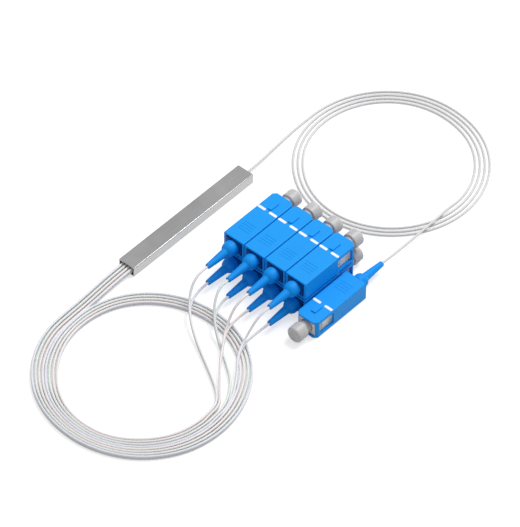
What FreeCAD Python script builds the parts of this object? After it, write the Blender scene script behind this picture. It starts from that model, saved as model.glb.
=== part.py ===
"""A 1 by 8 planar lightwave fibre splitter with nine square push-pull plugs.

A stainless steel tube holds the splitter chip. One jacketed fibre leaves its +X end, winds into
a flat coil and ends in the input plug. Eight jacketed fibres leave its -X end in two layers,
wind into a second coil and end in a stack of eight output plugs, four wide and two high.

Row frame, in millimetres: the origin is the middle of the steel tube's underside, +X runs along
the tube towards the input fibre, +Z is up. A plug is drawn in a frame of its own: the origin is
on the plug's axis at the back face of its grip, and +X runs towards the ferrule's tip.
"""
import FreeCAD, Part
import math
import os

import Sketcher

V = FreeCAD.Vector

# Every driving size, in millimetres or degrees.
SIZES = {
    # how far a cutting outline runs past what it cuts
    "overcut": 1.0,
    # steel tube and the splitter chip inside it
    "tube_length": 60.0,
    "tube_width": 7.0,
    "tube_height": 4.0,
    "tube_wall": 0.4,
    "tube_round": 0.3,
    "seal_recess": 0.8,
    "seal_depth": 4.2,
    "chip_length": 16.0,
    "chip_width": 3.0,
    "chip_thickness": 1.0,
    "cover_thickness": 0.8,
    "input_block_length": 5.0,
    "output_block_length": 7.0,
    "output_block_width": 4.2,
    "block_height": 1.9,
    "bare_diameter": 0.2,
    "bare_pitch": 0.25,
    # jacketed fibres
    "jacket_diameter": 0.9,
    "jacket_clearance": 0.05,
    "lead_pitch": 1.33,
    "lower_lead_z": 1.45,
    "upper_lead_z": 2.55,
    "layer_pitch": 0.95,
    # output coil: two passes of four strands, each strand two fibres high
    "output_coil_x": -62.5,
    "output_coil_y": -36.2,
    "shift_start_angle": 20.0,
    "shift_middle": 36.4,
    "shift_bulge": 0.3,
    "second_pass_top": 28.8,
    "second_pass_side": 29.95,
    "second_pass_end": 27.95,
    "pass_end_angle": -85.5,
    # input coil: three and a half turns, each inside the last
    "input_coil_x": 68.3,
    "input_coil_y": -32.3,
    "input_coil_start": 35.0,
    "input_turn_pitch": 1.7,
    # plug places
    "output_back_x": -4.8,
    "first_column_y": -26.2,
    "column_gap": 0.3,
    "row_gap": 0.1,
    "input_back_x": 14.9,
    "input_gap": 0.7,
    # grip
    "grip_length": 25.4,
    "grip_width": 9.0,
    "grip_height": 7.4,
    "grip_side_wall": 0.9,
    "grip_top_wall": 0.8,
    "grip_round": 0.35,
    "nose_chamfer": 1.3,
    "window_setback": 1.9,
    "window_length": 7.2,
    "window_height": 4.8,
    "mark_setback": 8.0,
    "mark_length": 3.4,
    "mark_width": 1.05,
    "mark_spacing": 1.7,
    "mark_depth": 0.15,
    "key_gap": 0.3,
    "key_width": 1.8,
    "key_length": 4.0,
    "key_height": 0.5,
    "key_corner": 0.7,
    "rib_first": 4.4,
    "rib_pitch": 1.2,
    "rib_width": 0.5,
    "rib_depth": 0.08,
    "rib_margin": 2.0,
    # plug frame
    "frame_clearance": 0.1,
    "frame_back": 3.0,
    "frame_setback": 0.5,
    "frame_bore": 4.9,
    "front_bore_depth": 8.2,
    "web_thickness": 1.2,
    "web_hole": 2.7,
    "latch_setback": 1.9,
    "latch_length": 7.4,
    "latch_height": 4.2,
    "latch_depth": 0.45,
    "latch_boss": 2.6,
    # ferrule and its flange
    "ferrule_diameter": 2.5,
    "ferrule_proud": 0.3,
    "ferrule_chamfer": 0.25,
    "ferrule_seat": 1.5,
    "ferrule_fit": 0.01,
    "flange_diameter": 4.4,
    "flange_length": 3.0,
    "stem_diameter": 2.4,
    "stem_length": 4.0,
    "stem_bore": 1.1,
    # spring
    "spring_wire": 0.45,
    "spring_diameter": 3.4,
    "spring_turns": 4.5,
    "spring_end_gap": 0.05,
    # rear body
    "rear_nose_clearance": 0.1,
    "rear_nose_length": 4.5,
    "collar_clearance": 0.3,
    "collar_proud": 0.3,
    "post_diameter": 3.6,
    "post_length": 3.4,
    "post_bore": 2.9,
    "post_bore_back": 1.0,
    # crimp ring and boot
    "crimp_clearance": 0.05,
    "crimp_wall": 0.45,
    "crimp_length": 3.0,
    "boot_clearance": 0.05,
    "boot_bulb": 5.4,
    "boot_bulb_length": 4.3,
    "boot_shoulder": 1.0,
    "boot_root": 3.2,
    "boot_tip": 2.0,
    "boot_length": 12.9,
    "boot_bore": 1.2,
    "jacket_end": 2.0,
    # dust cap
    "cap_sleeve": 4.5,
    "cap_insert": 6.2,
    "cap_neck": 2.0,
    "cap_head": 6.1,
    "cap_head_length": 4.8,
    "cap_round": 1.2,
    "cap_fit": 0.05,
    "cap_bore_past": 1.2,
}

RIB_COUNT = 4
COLUMNS = 4
ROWS = 2
LEAD_BEND_X = (-36.0, -50.0)
BEND_SHARE = 0.45
INPUT = 0
INPUT_TURNS = 3.5
SPARE_CELL = "D1"

doc = FreeCAD.newDocument("fibre_splitter")
sheet = doc.addObject("Spreadsheet::Sheet", "Sizes")
for row, (alias, value) in enumerate(SIZES.items(), start=1):
    sheet.set(f"A{row}", alias)
    sheet.set(f"B{row}", str(value))
    sheet.setAlias(f"B{row}", alias)
doc.recompute()


def bound(text):
    """An expression in sheet aliases, written so that the document can read it."""
    words = text.replace("(", " ( ").replace(")", " ) ").split()
    return " ".join("Sizes." + word if word in SIZES else word for word in words)


def number(text):
    """The present value of an expression in sheet aliases, worked out in a spare cell."""
    sheet.set(SPARE_CELL, "=" + text)
    sheet.recompute()
    return float(sheet.get(SPARE_CELL))


# ---------------------------------------------------------------- PartDesign helpers
def new_body(name):
    """An empty PartDesign body."""
    body = doc.addObject("PartDesign::Body", name)
    doc.recompute()
    return body


def origin_feature(body, role):
    """One of a body's own origin planes or axes."""
    return next(feature for feature in body.Origin.OriginFeatures if feature.Role == role)


def new_sketch(body, name, role, offset=None):
    """A sketch on an origin plane of its own body, moved along the plane's normal by offset."""
    sketch = body.newObject("Sketcher::SketchObject", name)
    sketch.AttachmentSupport = [(origin_feature(body, role), "")]
    sketch.MapMode = "FlatFace"
    if offset:
        sketch.setExpression("AttachmentOffset.Base.z", bound(offset))
    return sketch


def draw_loop(sketch, points):
    """A closed outline of straight lines; each corner is a pair of expressions."""
    first = sketch.GeometryCount
    count = len(points)
    places = [V(number(x), number(y), 0) for x, y in points]
    for step in range(count):
        sketch.addGeometry(Part.LineSegment(places[step], places[(step + 1) % count]), False)
    for step, (x, y) in enumerate(points):
        line = first + step
        before = first + (step - 1) % count
        sketch.addConstraint(Sketcher.Constraint("Coincident", before, 2, line, 1))
        for kind, text in (("DistanceX", x), ("DistanceY", y)):
            at = sketch.addConstraint(Sketcher.Constraint(kind, line, 1, number(text)))
            sketch.setExpression(f"Constraints[{at}]", bound(text))


def draw_rectangle(sketch, low_x, low_y, high_x, high_y):
    """A rectangle between two corners, each given by expressions."""
    draw_loop(sketch, [(low_x, low_y), (high_x, low_y), (high_x, high_y), (low_x, high_y)])


def draw_circle(sketch, x, y, radius):
    """A circle whose centre and radius are expressions."""
    at = sketch.addGeometry(Part.Circle(V(number(x), number(y), 0), V(0, 0, 1), number(radius)), False)
    for kind, text in (("DistanceX", x), ("DistanceY", y)):
        place = sketch.addConstraint(Sketcher.Constraint(kind, at, 3, number(text)))
        sketch.setExpression(f"Constraints[{place}]", bound(text))
    size = sketch.addConstraint(Sketcher.Constraint("Radius", at, number(radius)))
    sketch.setExpression(f"Constraints[{size}]", bound(radius))


def pad(body, name, sketch, length, symmetric=False, backwards=False):
    """A pad of a sketch, on one side of it or on both."""
    feature = body.newObject("PartDesign::Pad", name)
    feature.Profile = sketch
    feature.setExpression("Length", bound(length))
    feature.Midplane = symmetric
    feature.Reversed = backwards
    return feature


def pocket(body, name, sketch, depth, symmetric=False, backwards=False):
    """A pocket of a sketch, against its normal, with it, or on both sides."""
    feature = body.newObject("PartDesign::Pocket", name)
    feature.Profile = sketch
    feature.setExpression("Length", bound(depth))
    feature.Midplane = symmetric
    feature.Reversed = backwards
    return feature


def turned(body, name, points, cut=False):
    """A full turn about the X axis of an outline of (along, radius) expressions."""
    sketch = new_sketch(body, name + "_outline", "XY_Plane")
    draw_loop(sketch, points)
    kind = "PartDesign::Groove" if cut else "PartDesign::Revolution"
    feature = body.newObject(kind, name)
    feature.Profile = sketch
    feature.ReferenceAxis = (origin_feature(body, "X_Axis"), [""])
    feature.Angle = 360.0
    doc.recompute()
    return feature


def fillet(body, name, base, radius, wanted):
    """A fillet of the edges of base whose curve passes the test wanted(edge)."""
    doc.recompute()
    edges = [f"Edge{n}" for n, edge in enumerate(base.Shape.Edges, start=1) if wanted(edge)]
    feature = body.newObject("PartDesign::Fillet", name)
    feature.Base = (base, edges)
    feature.setExpression("Radius", bound(radius))
    doc.recompute()
    return feature


def runs_along_x(edge):
    """Whether an edge is a straight one along X."""
    return edge.Curve.TypeId == "Part::GeomLine" and abs(edge.tangentAt(edge.FirstParameter).x) > 0.999


def upright_at(x, y):
    """A test for a straight edge along Z at a place x, and at y or its mirror, as expressions."""

    def wanted(edge):
        middle = edge.CenterOfMass
        upright = edge.Curve.TypeId == "Part::GeomLine" and abs(edge.tangentAt(edge.FirstParameter).z) > 0.999
        here = math.isclose(middle.x, number(x), abs_tol=1e-4)
        return upright and here and math.isclose(abs(middle.y), number(y), abs_tol=1e-4)

    return wanted


def circle_at(along, radius):
    """A test for a round edge about the X axis at a place and radius given by expressions."""

    def wanted(edge):
        if edge.Curve.TypeId != "Part::GeomCircle":
            return False
        return math.isclose(edge.Curve.Center.x, number(along), abs_tol=1e-4) and math.isclose(
            edge.Curve.Radius, number(radius), abs_tol=1e-4
        )

    return wanted


def tube_outline(back, front, outer, inner):
    """The half section of a plain tube about X, from diameters."""
    return [
        (back, inner + " / 2"),
        (front, inner + " / 2"),
        (front, outer + " / 2"),
        (back, outer + " / 2"),
    ]


# ---------------------------------------------------------------- places shared by several pieces
NOSE = "grip_length"
FRAME_NOSE = "( grip_length - frame_setback )"
FRAME_WIDTH = "( grip_width - 2 * grip_side_wall - 2 * frame_clearance )"
FRAME_HEIGHT = "( grip_height - 2 * grip_top_wall - 2 * frame_clearance )"
COLLAR_WIDTH = "( grip_width - 2 * grip_side_wall - 2 * collar_clearance )"
COLLAR_HEIGHT = "( grip_height - 2 * grip_top_wall - 2 * collar_clearance )"
WEB_FRONT = "( grip_length - frame_setback - front_bore_depth )"
WEB_BACK = "( grip_length - frame_setback - front_bore_depth - web_thickness )"
FLANGE_BACK = f"( {WEB_BACK} - flange_length )"
REAR_NOSE = "( frame_back + rear_nose_length )"
COLLAR_BACK = "( 0 - collar_proud )"
POST_BACK = "( 0 - collar_proud - post_length )"
BOOT_BACK = "( 0 - collar_proud - boot_length )"
CRIMP_BORE = "( post_diameter + 2 * crimp_clearance )"
CRIMP_OUTER = "( post_diameter + 2 * crimp_clearance + 2 * crimp_wall )"
BOOT_HOLLOW = "( post_diameter + 2 * crimp_clearance + 2 * crimp_wall + 2 * boot_clearance )"
JACKET_HOLE = "( jacket_diameter + 2 * jacket_clearance )"
CAP_BORE = "( ferrule_diameter + 2 * cap_fit )"
CAP_BACK = "( grip_length - cap_insert )"
CAP_SHOULDER = "( grip_length + cap_neck )"
CAP_TIP = "( grip_length + cap_neck + cap_head_length )"
SEAL_BACK = "( tube_length / 2 - seal_recess - seal_depth )"
CAVITY_WIDTH = "( tube_width - 2 * tube_wall )"


# ---------------------------------------------------------------- the pieces of one plug
def make_grip():
    """The sliding outer grip: open at both ends, chamfered nose, two side windows, a key rib."""
    body = new_body("grip_master")
    half_y = "grip_width / 2"
    outline = new_sketch(body, "grip_outline", "XY_Plane")
    draw_loop(
        outline,
        [
            ("0", "0 - " + half_y),
            (NOSE + " - nose_chamfer", "0 - " + half_y),
            (NOSE, "nose_chamfer - " + half_y),
            (NOSE, half_y + " - nose_chamfer"),
            (NOSE + " - nose_chamfer", half_y),
            ("0", half_y),
        ],
    )
    block = pad(body, "grip_block", outline, "grip_height", symmetric=True)
    fillet(body, "grip_edges", block, "grip_round", runs_along_x)

    cavity = new_sketch(body, "grip_cavity_outline", "YZ_Plane")
    wide = "( grip_width / 2 - grip_side_wall )"
    high = "( grip_height / 2 - grip_top_wall )"
    draw_rectangle(cavity, "0 - " + wide, "0 - " + high, wide, high)
    pocket(body, "grip_cavity", cavity, "2 * ( grip_length + overcut )", symmetric=True)

    window = new_sketch(body, "grip_window_outline", "XZ_Plane")
    draw_rectangle(
        window,
        "grip_length - window_setback - window_length",
        "0 - window_height / 2",
        "grip_length - window_setback",
        "window_height / 2",
    )
    pocket(body, "grip_windows", window, "grip_width + overcut", symmetric=True)

    marks = new_sketch(body, "grip_mark_outline", "XY_Plane", "grip_height / 2")
    for near, far in (
        ("mark_spacing / 2", "mark_spacing / 2 + mark_length"),
        ("0 - mark_spacing / 2 - mark_length", "0 - mark_spacing / 2"),
    ):
        draw_rectangle(
            marks,
            "grip_length - mark_setback - mark_width",
            near,
            "grip_length - mark_setback",
            far,
        )
    mark_cut = pocket(body, "grip_marks", marks, "mark_depth")

    ribs = new_sketch(body, "grip_rib_outline", "XY_Plane", "grip_height / 2")
    for step in range(RIB_COUNT):
        start = f"rib_first + {step} * rib_pitch"
        draw_rectangle(
            ribs, start, "rib_margin - grip_width / 2", start + " + rib_width", "grip_width / 2 - rib_margin"
        )
    rib_cut = pocket(body, "grip_ribs", ribs, "rib_depth")
    doc.recompute()

    both_sides = body.newObject("PartDesign::Mirrored", "grip_other_side")
    both_sides.Originals = [mark_cut, rib_cut]
    both_sides.MirrorPlane = (origin_feature(body, "XY_Plane"), [""])
    body.Tip = both_sides
    doc.recompute()

    key_back = "grip_length - mark_setback + key_gap"
    key = new_sketch(body, "grip_key_outline", "XY_Plane", "grip_height / 2 - grip_top_wall / 2")
    draw_rectangle(key, key_back, "0 - key_width / 2", key_back + " + key_length", "key_width / 2")
    rib = pad(body, "grip_key", key, "key_height + grip_top_wall / 2")
    fillet(body, "grip_key_corners", rib, "key_corner", upright_at(key_back, "key_width / 2"))
    return body


def make_plug_frame():
    """The inner plug frame: bored for the ferrule, with a latch boss in each side window."""
    body = new_body("plug_frame_master")
    section = new_sketch(body, "frame_outline", "XY_Plane")
    draw_rectangle(section, "frame_back", f"0 - {FRAME_WIDTH} / 2", FRAME_NOSE, FRAME_WIDTH + " / 2")
    pad(body, "frame_block", section, FRAME_HEIGHT, symmetric=True)
    turned(
        body,
        "frame_bores",
        [
            ("frame_back - overcut", "0"),
            (FRAME_NOSE + " + overcut", "0"),
            (FRAME_NOSE + " + overcut", "frame_bore / 2"),
            (WEB_FRONT, "frame_bore / 2"),
            (WEB_FRONT, "web_hole / 2"),
            (WEB_BACK, "web_hole / 2"),
            (WEB_BACK, "frame_bore / 2"),
            ("frame_back - overcut", "frame_bore / 2"),
        ],
        cut=True,
    )
    latch = new_sketch(body, "frame_latch_outline", "XZ_Plane", FRAME_WIDTH + " / 2")
    middle = "( grip_length - latch_setback - latch_length / 2 )"
    for low, high in (
        ("grip_length - latch_setback - latch_length", middle + " - latch_boss / 2"),
        (middle + " + latch_boss / 2", "grip_length - latch_setback"),
    ):
        draw_rectangle(latch, low, "0 - latch_height / 2", high, "latch_height / 2")
    near_side = pocket(body, "frame_latch_recess", latch, "latch_depth")
    doc.recompute()
    far_side = body.newObject("PartDesign::Mirrored", "frame_far_recess")
    far_side.Originals = [near_side]
    far_side.MirrorPlane = (origin_feature(body, "XZ_Plane"), [""])
    body.Tip = far_side
    doc.recompute()
    return body


def make_ferrule():
    """The ceramic ferrule, chamfered at its tip and seated in its flange."""
    body = new_body("ferrule_master")
    back = f"{WEB_BACK} - ferrule_seat"
    tip = NOSE + " + ferrule_proud"
    turned(
        body,
        "ferrule_rod",
        [
            (back, "bare_diameter / 2"),
            (tip, "bare_diameter / 2"),
            (tip, "ferrule_diameter / 2 - ferrule_chamfer"),
            (tip + " - ferrule_chamfer", "ferrule_diameter / 2"),
            (back, "ferrule_diameter / 2"),
        ],
    )
    return body


def make_flange():
    """The steel flange pressed on the ferrule, with a stem that guides the spring."""
    body = new_body("flange_master")
    seat = f"{WEB_BACK} - ferrule_seat"
    turned(
        body,
        "flange_body",
        [
            (f"{FLANGE_BACK} - stem_length", "stem_bore / 2"),
            (seat, "stem_bore / 2"),
            (seat, "ferrule_diameter / 2 + ferrule_fit"),
            (WEB_BACK, "ferrule_diameter / 2 + ferrule_fit"),
            (WEB_BACK, "flange_diameter / 2"),
            (FLANGE_BACK, "flange_diameter / 2"),
            (FLANGE_BACK, "stem_diameter / 2"),
            (f"{FLANGE_BACK} - stem_length", "stem_diameter / 2"),
        ],
    )
    return body


def make_spring():
    """The coil spring between the flange and the rear body."""
    body = new_body("spring_master")
    start = f"( {REAR_NOSE} + spring_wire / 2 + spring_end_gap )"
    wire = new_sketch(body, "spring_wire_outline", "XY_Plane")
    draw_circle(wire, start, "spring_diameter / 2", "spring_wire / 2")
    doc.recompute()
    helix = body.newObject("PartDesign::AdditiveHelix", "spring_coils")
    helix.Profile = wire
    helix.ReferenceAxis = (origin_feature(body, "X_Axis"), [""])
    helix.Mode = "pitch-height-angle"
    travel = f"( {FLANGE_BACK} - {REAR_NOSE} - spring_wire - 2 * spring_end_gap )"
    helix.setExpression("Height", bound(travel))
    helix.setExpression("Pitch", bound(travel + " / spring_turns"))
    doc.recompute()
    return body


def make_rear_body():
    """The rear body: a nose inside the frame, a square collar behind it and a post for the crimp."""
    body = new_body("rear_body_master")
    collar = new_sketch(body, "collar_outline", "YZ_Plane", COLLAR_BACK)
    wide = COLLAR_WIDTH + " / 2"
    high = COLLAR_HEIGHT + " / 2"
    draw_rectangle(collar, "0 - " + wide, "0 - " + high, wide, high)
    pad(body, "collar_block", collar, "frame_back + collar_proud")
    nose = "( frame_bore - 2 * rear_nose_clearance )"
    turned(
        body,
        "rear_nose",
        [
            ("frame_back - overcut", "post_bore / 2"),
            (REAR_NOSE, "post_bore / 2"),
            (REAR_NOSE, nose + " / 2"),
            ("frame_back - overcut", nose + " / 2"),
        ],
    )
    turned(
        body,
        "rear_post",
        [
            (POST_BACK, JACKET_HOLE + " / 2"),
            (COLLAR_BACK + " + overcut", JACKET_HOLE + " / 2"),
            (COLLAR_BACK + " + overcut", "post_diameter / 2"),
            (POST_BACK, "post_diameter / 2"),
        ],
    )
    turned(
        body,
        "rear_bore",
        [
            (POST_BACK + " - overcut", "0"),
            (REAR_NOSE + " + overcut", "0"),
            (REAR_NOSE + " + overcut", "post_bore / 2"),
            ("post_bore_back", "post_bore / 2"),
            ("post_bore_back", JACKET_HOLE + " / 2"),
            (POST_BACK + " - overcut", JACKET_HOLE + " / 2"),
        ],
        cut=True,
    )
    return body


def make_crimp_ring():
    """The metal ring crimped on the rear body's post."""
    body = new_body("crimp_ring_master")
    turned(
        body,
        "crimp_tube",
        tube_outline(f"{COLLAR_BACK} - crimp_length", COLLAR_BACK, CRIMP_OUTER, CRIMP_BORE),
    )
    return body


def make_boot():
    """The strain relief boot: a round bulb over the crimp ring and a tapered tail."""
    body = new_body("boot_master")
    root = "( 0 - collar_proud - boot_bulb_length )"
    outside = turned(
        body,
        "boot_outside",
        [
            (BOOT_BACK, "boot_bore / 2"),
            (POST_BACK, "boot_bore / 2"),
            (POST_BACK, BOOT_HOLLOW + " / 2"),
            (COLLAR_BACK, BOOT_HOLLOW + " / 2"),
            (COLLAR_BACK, "boot_bulb / 2"),
            (root, "boot_bulb / 2"),
            (root, "boot_root / 2"),
            (BOOT_BACK, "boot_tip / 2"),
        ],
    )
    fillet(body, "boot_rounding", outside, "boot_shoulder", circle_at(root, "boot_bulb / 2"))
    return body


def make_dust_cap():
    """The dust cap: a sleeve over the ferrule and a round head to pull on."""
    body = new_body("dust_cap_master")
    solid = turned(
        body,
        "cap_body",
        [
            (CAP_BACK, CAP_BORE + " / 2"),
            (NOSE + " + cap_bore_past", CAP_BORE + " / 2"),
            (NOSE + " + cap_bore_past", "0"),
            (CAP_TIP, "0"),
            (CAP_TIP, "cap_head / 2"),
            (CAP_SHOULDER, "cap_head / 2"),
            (CAP_SHOULDER, "cap_sleeve / 2"),
            (CAP_BACK, "cap_sleeve / 2"),
        ],
    )
    fillet(body, "cap_rounding", solid, "cap_round", circle_at(CAP_TIP, "cap_head / 2"))
    return body


# ---------------------------------------------------------------- the splitter module
def make_housing():
    """The rectangular stainless steel tube, open at both ends."""
    body = new_body("module_housing")
    outside = new_sketch(body, "housing_outline", "XY_Plane")
    half_x = "tube_length / 2"
    half_y = "tube_width / 2"
    draw_rectangle(outside, "0 - " + half_x, "0 - " + half_y, half_x, half_y)
    block = pad(body, "housing_block", outside, "tube_height")
    fillet(body, "housing_edges", block, "tube_round", runs_along_x)
    inside = new_sketch(body, "housing_cavity_outline", "YZ_Plane")
    draw_rectangle(
        inside,
        f"0 - {CAVITY_WIDTH} / 2",
        "tube_wall",
        CAVITY_WIDTH + " / 2",
        "tube_height - tube_wall",
    )
    pocket(body, "housing_cavity", inside, "tube_length + overcut", symmetric=True)
    return body


def make_seal(name, centres, turned_round):
    """A potted seal in one mouth of the tube, with a hole for each jacketed fibre."""
    body = new_body(name)
    block_section = new_sketch(body, name + "_outline", "YZ_Plane", SEAL_BACK)
    draw_rectangle(
        block_section,
        f"0 - {CAVITY_WIDTH} / 2",
        "tube_wall",
        CAVITY_WIDTH + " / 2",
        "tube_height - tube_wall",
    )
    pad(body, name + "_block", block_section, "seal_depth")
    holes = new_sketch(body, name + "_hole_outline", "YZ_Plane", SEAL_BACK + " - overcut")
    for y, z in centres:
        draw_circle(holes, y, z, JACKET_HOLE + " / 2")
    pocket(body, name + "_holes", holes, "seal_depth + 2 * overcut", backwards=True)
    if turned_round:
        body.Placement = FreeCAD.Placement(V(0, 0, 0), FreeCAD.Rotation(V(0, 0, 1), 180))
    return body


def make_box(name, length, width, height, x, z):
    """A plain block centred on Y, placed by its low X end and its underside."""
    block = doc.addObject("Part::Box", name)
    for side, text in (("Length", length), ("Width", width), ("Height", height)):
        block.setExpression(side, bound(text))
    block.setExpression("Placement.Base.x", bound(x))
    block.setExpression("Placement.Base.y", bound(f"0 - ( {width} ) / 2"))
    block.setExpression("Placement.Base.z", bound(z))
    return block


def lead_y(column):
    """The place across the tube of one column of output fibres, the outermost first."""
    return f"( {(COLUMNS - 1) / 2 - column} * lead_pitch )"


def make_module():
    """Every piece of the splitter module, in the row frame."""
    half_chip = "chip_length / 2"
    plane = "( tube_wall + chip_thickness )"
    levels = ("lower_lead_z", "upper_lead_z")
    output_holes = [(lead_y(column), level) for column in range(COLUMNS) for level in levels]
    middle = "( tube_height / 2 )"
    return [
        make_housing(),
        make_box(
            "waveguide_chip", "chip_length", "chip_width", "chip_thickness", "0 - " + half_chip, "tube_wall"
        ),
        make_box("chip_cover", "chip_length", "chip_width", "cover_thickness", "0 - " + half_chip, plane),
        make_box(
            "input_fibre_block", "input_block_length", "chip_width", "block_height", half_chip, "tube_wall"
        ),
        make_box(
            "output_fibre_block",
            "output_block_length",
            "output_block_width",
            "block_height",
            f"0 - {half_chip} - output_block_length",
            "tube_wall",
        ),
        make_seal("input_end_seal", [("0", middle)], False),
        make_seal("output_end_seal", output_holes, True),
    ]


def feature_of(name, shape):
    """A plain feature that holds a shape worked out from the sheet's values."""
    feature = doc.addObject("Part::Feature", name)
    feature.Shape = shape
    feature.Placement = FreeCAD.Placement()
    return feature


def rod_between(start, end, diameter):
    """A straight round rod between two points."""
    along = end - start
    return Part.makeCylinder(diameter / 2, along.Length, start, along)


def make_bare_fibres():
    """The bare fibres between the chip's two blocks and the ends of the jackets."""
    diameter = number("bare_diameter")
    chip_plane = number("tube_wall + chip_thickness")
    jacket_x = number(SEAL_BACK)
    block_x = number("0 - chip_length / 2 - output_block_length")
    rods = [
        rod_between(
            V(number("chip_length / 2 + input_block_length"), 0, chip_plane),
            V(jacket_x, 0, number("tube_height / 2")),
            diameter,
        )
    ]
    for column in range(COLUMNS):
        for level, height in enumerate(("lower_lead_z", "upper_lead_z")):
            place = COLUMNS * ROWS / 2 - 0.5 - ROWS * column - level
            start = V(block_x, place * number("bare_pitch"), chip_plane)
            end = V(-jacket_x, number(lead_y(column)), number(height))
            rods.append(rod_between(start, end, diameter))
    return feature_of("bare_fibres", Part.makeCompound(rods))


# ---------------------------------------------------------------- jacketed fibres and coils
def arc_radius(before, corner, after):
    """The radius of the arc that rounds one corner of a route."""
    arrive = corner - before
    leave = after - corner
    half_turn = arrive.getAngle(leave) / 2
    return BEND_SHARE * min(arrive.Length, leave.Length) / math.tan(half_turn)


def rounded_path(points):
    """Straight runs through the points, joined by tangent arcs, and the arcs' radii."""
    edges = []
    radii = []
    reached = points[0]
    for before, corner, after in zip(points, points[1:], points[2:]):
        back = (before - corner).normalize()
        ahead = (after - corner).normalize()
        cut = BEND_SHARE * min((corner - before).Length, (after - corner).Length)
        radius = arc_radius(before, corner, after)
        start = corner + back * cut
        end = corner + ahead * cut
        inward = (back + ahead).normalize()
        centre = corner + inward * math.hypot(cut, radius)
        middle = centre - inward * radius
        edges.append(Part.LineSegment(reached, start).toShape())
        edges.append(Part.Arc(start, middle, end).toShape())
        radii.append(radius)
        reached = end
    edges.append(Part.LineSegment(reached, points[-1]).toShape())
    return Part.Wire(edges), radii


def jacket_tube(name, points):
    """The solid jacket along a route, checked against its section times its length."""
    path, radii = rounded_path(points)
    radius = number("jacket_diameter") / 2
    along = points[1] - points[0]
    ring = Part.Wire(Part.makeCircle(radius, points[0], along))
    tube = path.makePipeShell([ring], True, False)
    expected = math.pi * radius**2 * path.Length
    if not tube.isValid() or not math.isclose(tube.Volume, expected, rel_tol=0.01):
        raise RuntimeError(f"{name}: its tube holds {tube.Volume:.2f} mm3, not {expected:.2f}")
    listed = " ".join(f"{value:.1f}" for value in radii)
    print(f"{name}: {path.Length:.1f} mm of free jacket, arc radii {listed}")
    return tube


def polar(centre, radius, angle):
    """A point of the floor at a radius and an angle in degrees about a centre."""
    turn = math.radians(angle)
    return centre + V(radius * math.cos(turn), radius * math.sin(turn), 0)


def arc_through(start, middle, end):
    """A circular arc edge through three points."""
    return Part.Arc(start, middle, end).toShape()


def extruded_ring(outer, inner, height):
    """A flat ring between two closed outlines, stood on the floor."""
    face = Part.Face([Part.Wire(outer), Part.Wire(inner)])
    face.validate()
    return face.extrude(V(0, 0, height))


def level_arc(start, top):
    """The arc from start that arrives level at top, so that its centre is straight below top."""
    chord = top - start
    radius = chord.Length**2 / (2 * chord.y)
    centre = top - V(0, radius, 0)
    middle = centre + (start + top - centre * 2).normalize() * radius
    return arc_through(start, middle, top)


def make_output_coil():
    """The outer shape of the output coil: one wide pass and part of a second inside it."""
    centre = V(number("output_coil_x"), number("output_coil_y"), 0)
    half = number("jacket_diameter") / 2
    outer = number(lead_y(0)) - centre.y + half
    inner = number(lead_y(COLUMNS - 1)) - centre.y - half
    shift = number("shift_start_angle")
    finish = number("pass_end_angle")
    top = number("second_pass_top")
    end = number("second_pass_end")
    middle = number("shift_middle")
    bulge = number("shift_bulge")
    halfway = (shift + 90) / 2
    quarter = (shift + halfway) / 2
    step = polar(centre, inner - number("jacket_clearance"), 90)
    turn_start = polar(centre, outer, shift)
    turn_middle = polar(centre, middle, halfway)
    outside = [
        arc_through(polar(centre, outer, 90), polar(centre, outer, 200), turn_start),
        arc_through(turn_start, polar(centre, (outer + middle) / 2 + bulge, quarter), turn_middle),
        level_arc(turn_middle, step),
        Part.makeLine(step, polar(centre, outer, 90)),
    ]
    inward = outer - middle
    inside = [
        arc_through(polar(centre, inner, finish), polar(centre, inner, -20), polar(centre, inner, shift)),
        arc_through(
            polar(centre, inner, shift), polar(centre, inner - inward, halfway), polar(centre, top, 90)
        ),
        arc_through(
            polar(centre, top, 90), polar(centre, number("second_pass_side"), 180), polar(centre, end, finish)
        ),
        Part.makeLine(polar(centre, end, finish), polar(centre, inner, finish)),
    ]
    height = number("jacket_diameter + layer_pitch")
    return feature_of("output_coil", extruded_ring(outside, inside, height))


def winding_loop(centre, right, pitch, clockwise):
    """A closed outline of two half circles, joined by a short radial line of one pitch.

    The right half is centred a quarter pitch above the coil's centre and the left half as far
    below it. The line that joins them is at the top of a clockwise loop, else at the bottom.
    """
    lift = V(0, pitch / 4, 0)
    high = centre + lift
    low = centre - lift
    up = V(0, 1, 0)
    across = V(1, 0, 0)
    left = right - pitch / 2 if clockwise else right + pitch / 2
    arcs = [
        arc_through(high + up * right, high + across * right, high - up * right),
        arc_through(low - up * left, low - across * left, low + up * left),
    ]
    if clockwise:
        return arcs + [Part.makeLine(low + up * left, high + up * right)]
    return arcs + [Part.makeLine(high - up * right, low - up * left)]


def make_input_coil():
    """The outer shape of the input coil: an even spiral with a step where each end leaves."""
    centre = V(number("input_coil_x"), number("input_coil_y"), 0)
    half = number("jacket_diameter") / 2
    pitch = number("input_turn_pitch")
    start = number("input_coil_start")
    outside = winding_loop(centre, start + half - pitch / 4, pitch, True)
    innermost = start - INPUT_TURNS * pitch - half
    inside = winding_loop(centre, innermost + pitch / 4, pitch, False)
    return feature_of("input_coil", extruded_ring(outside, inside, number("jacket_diameter")))


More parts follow.
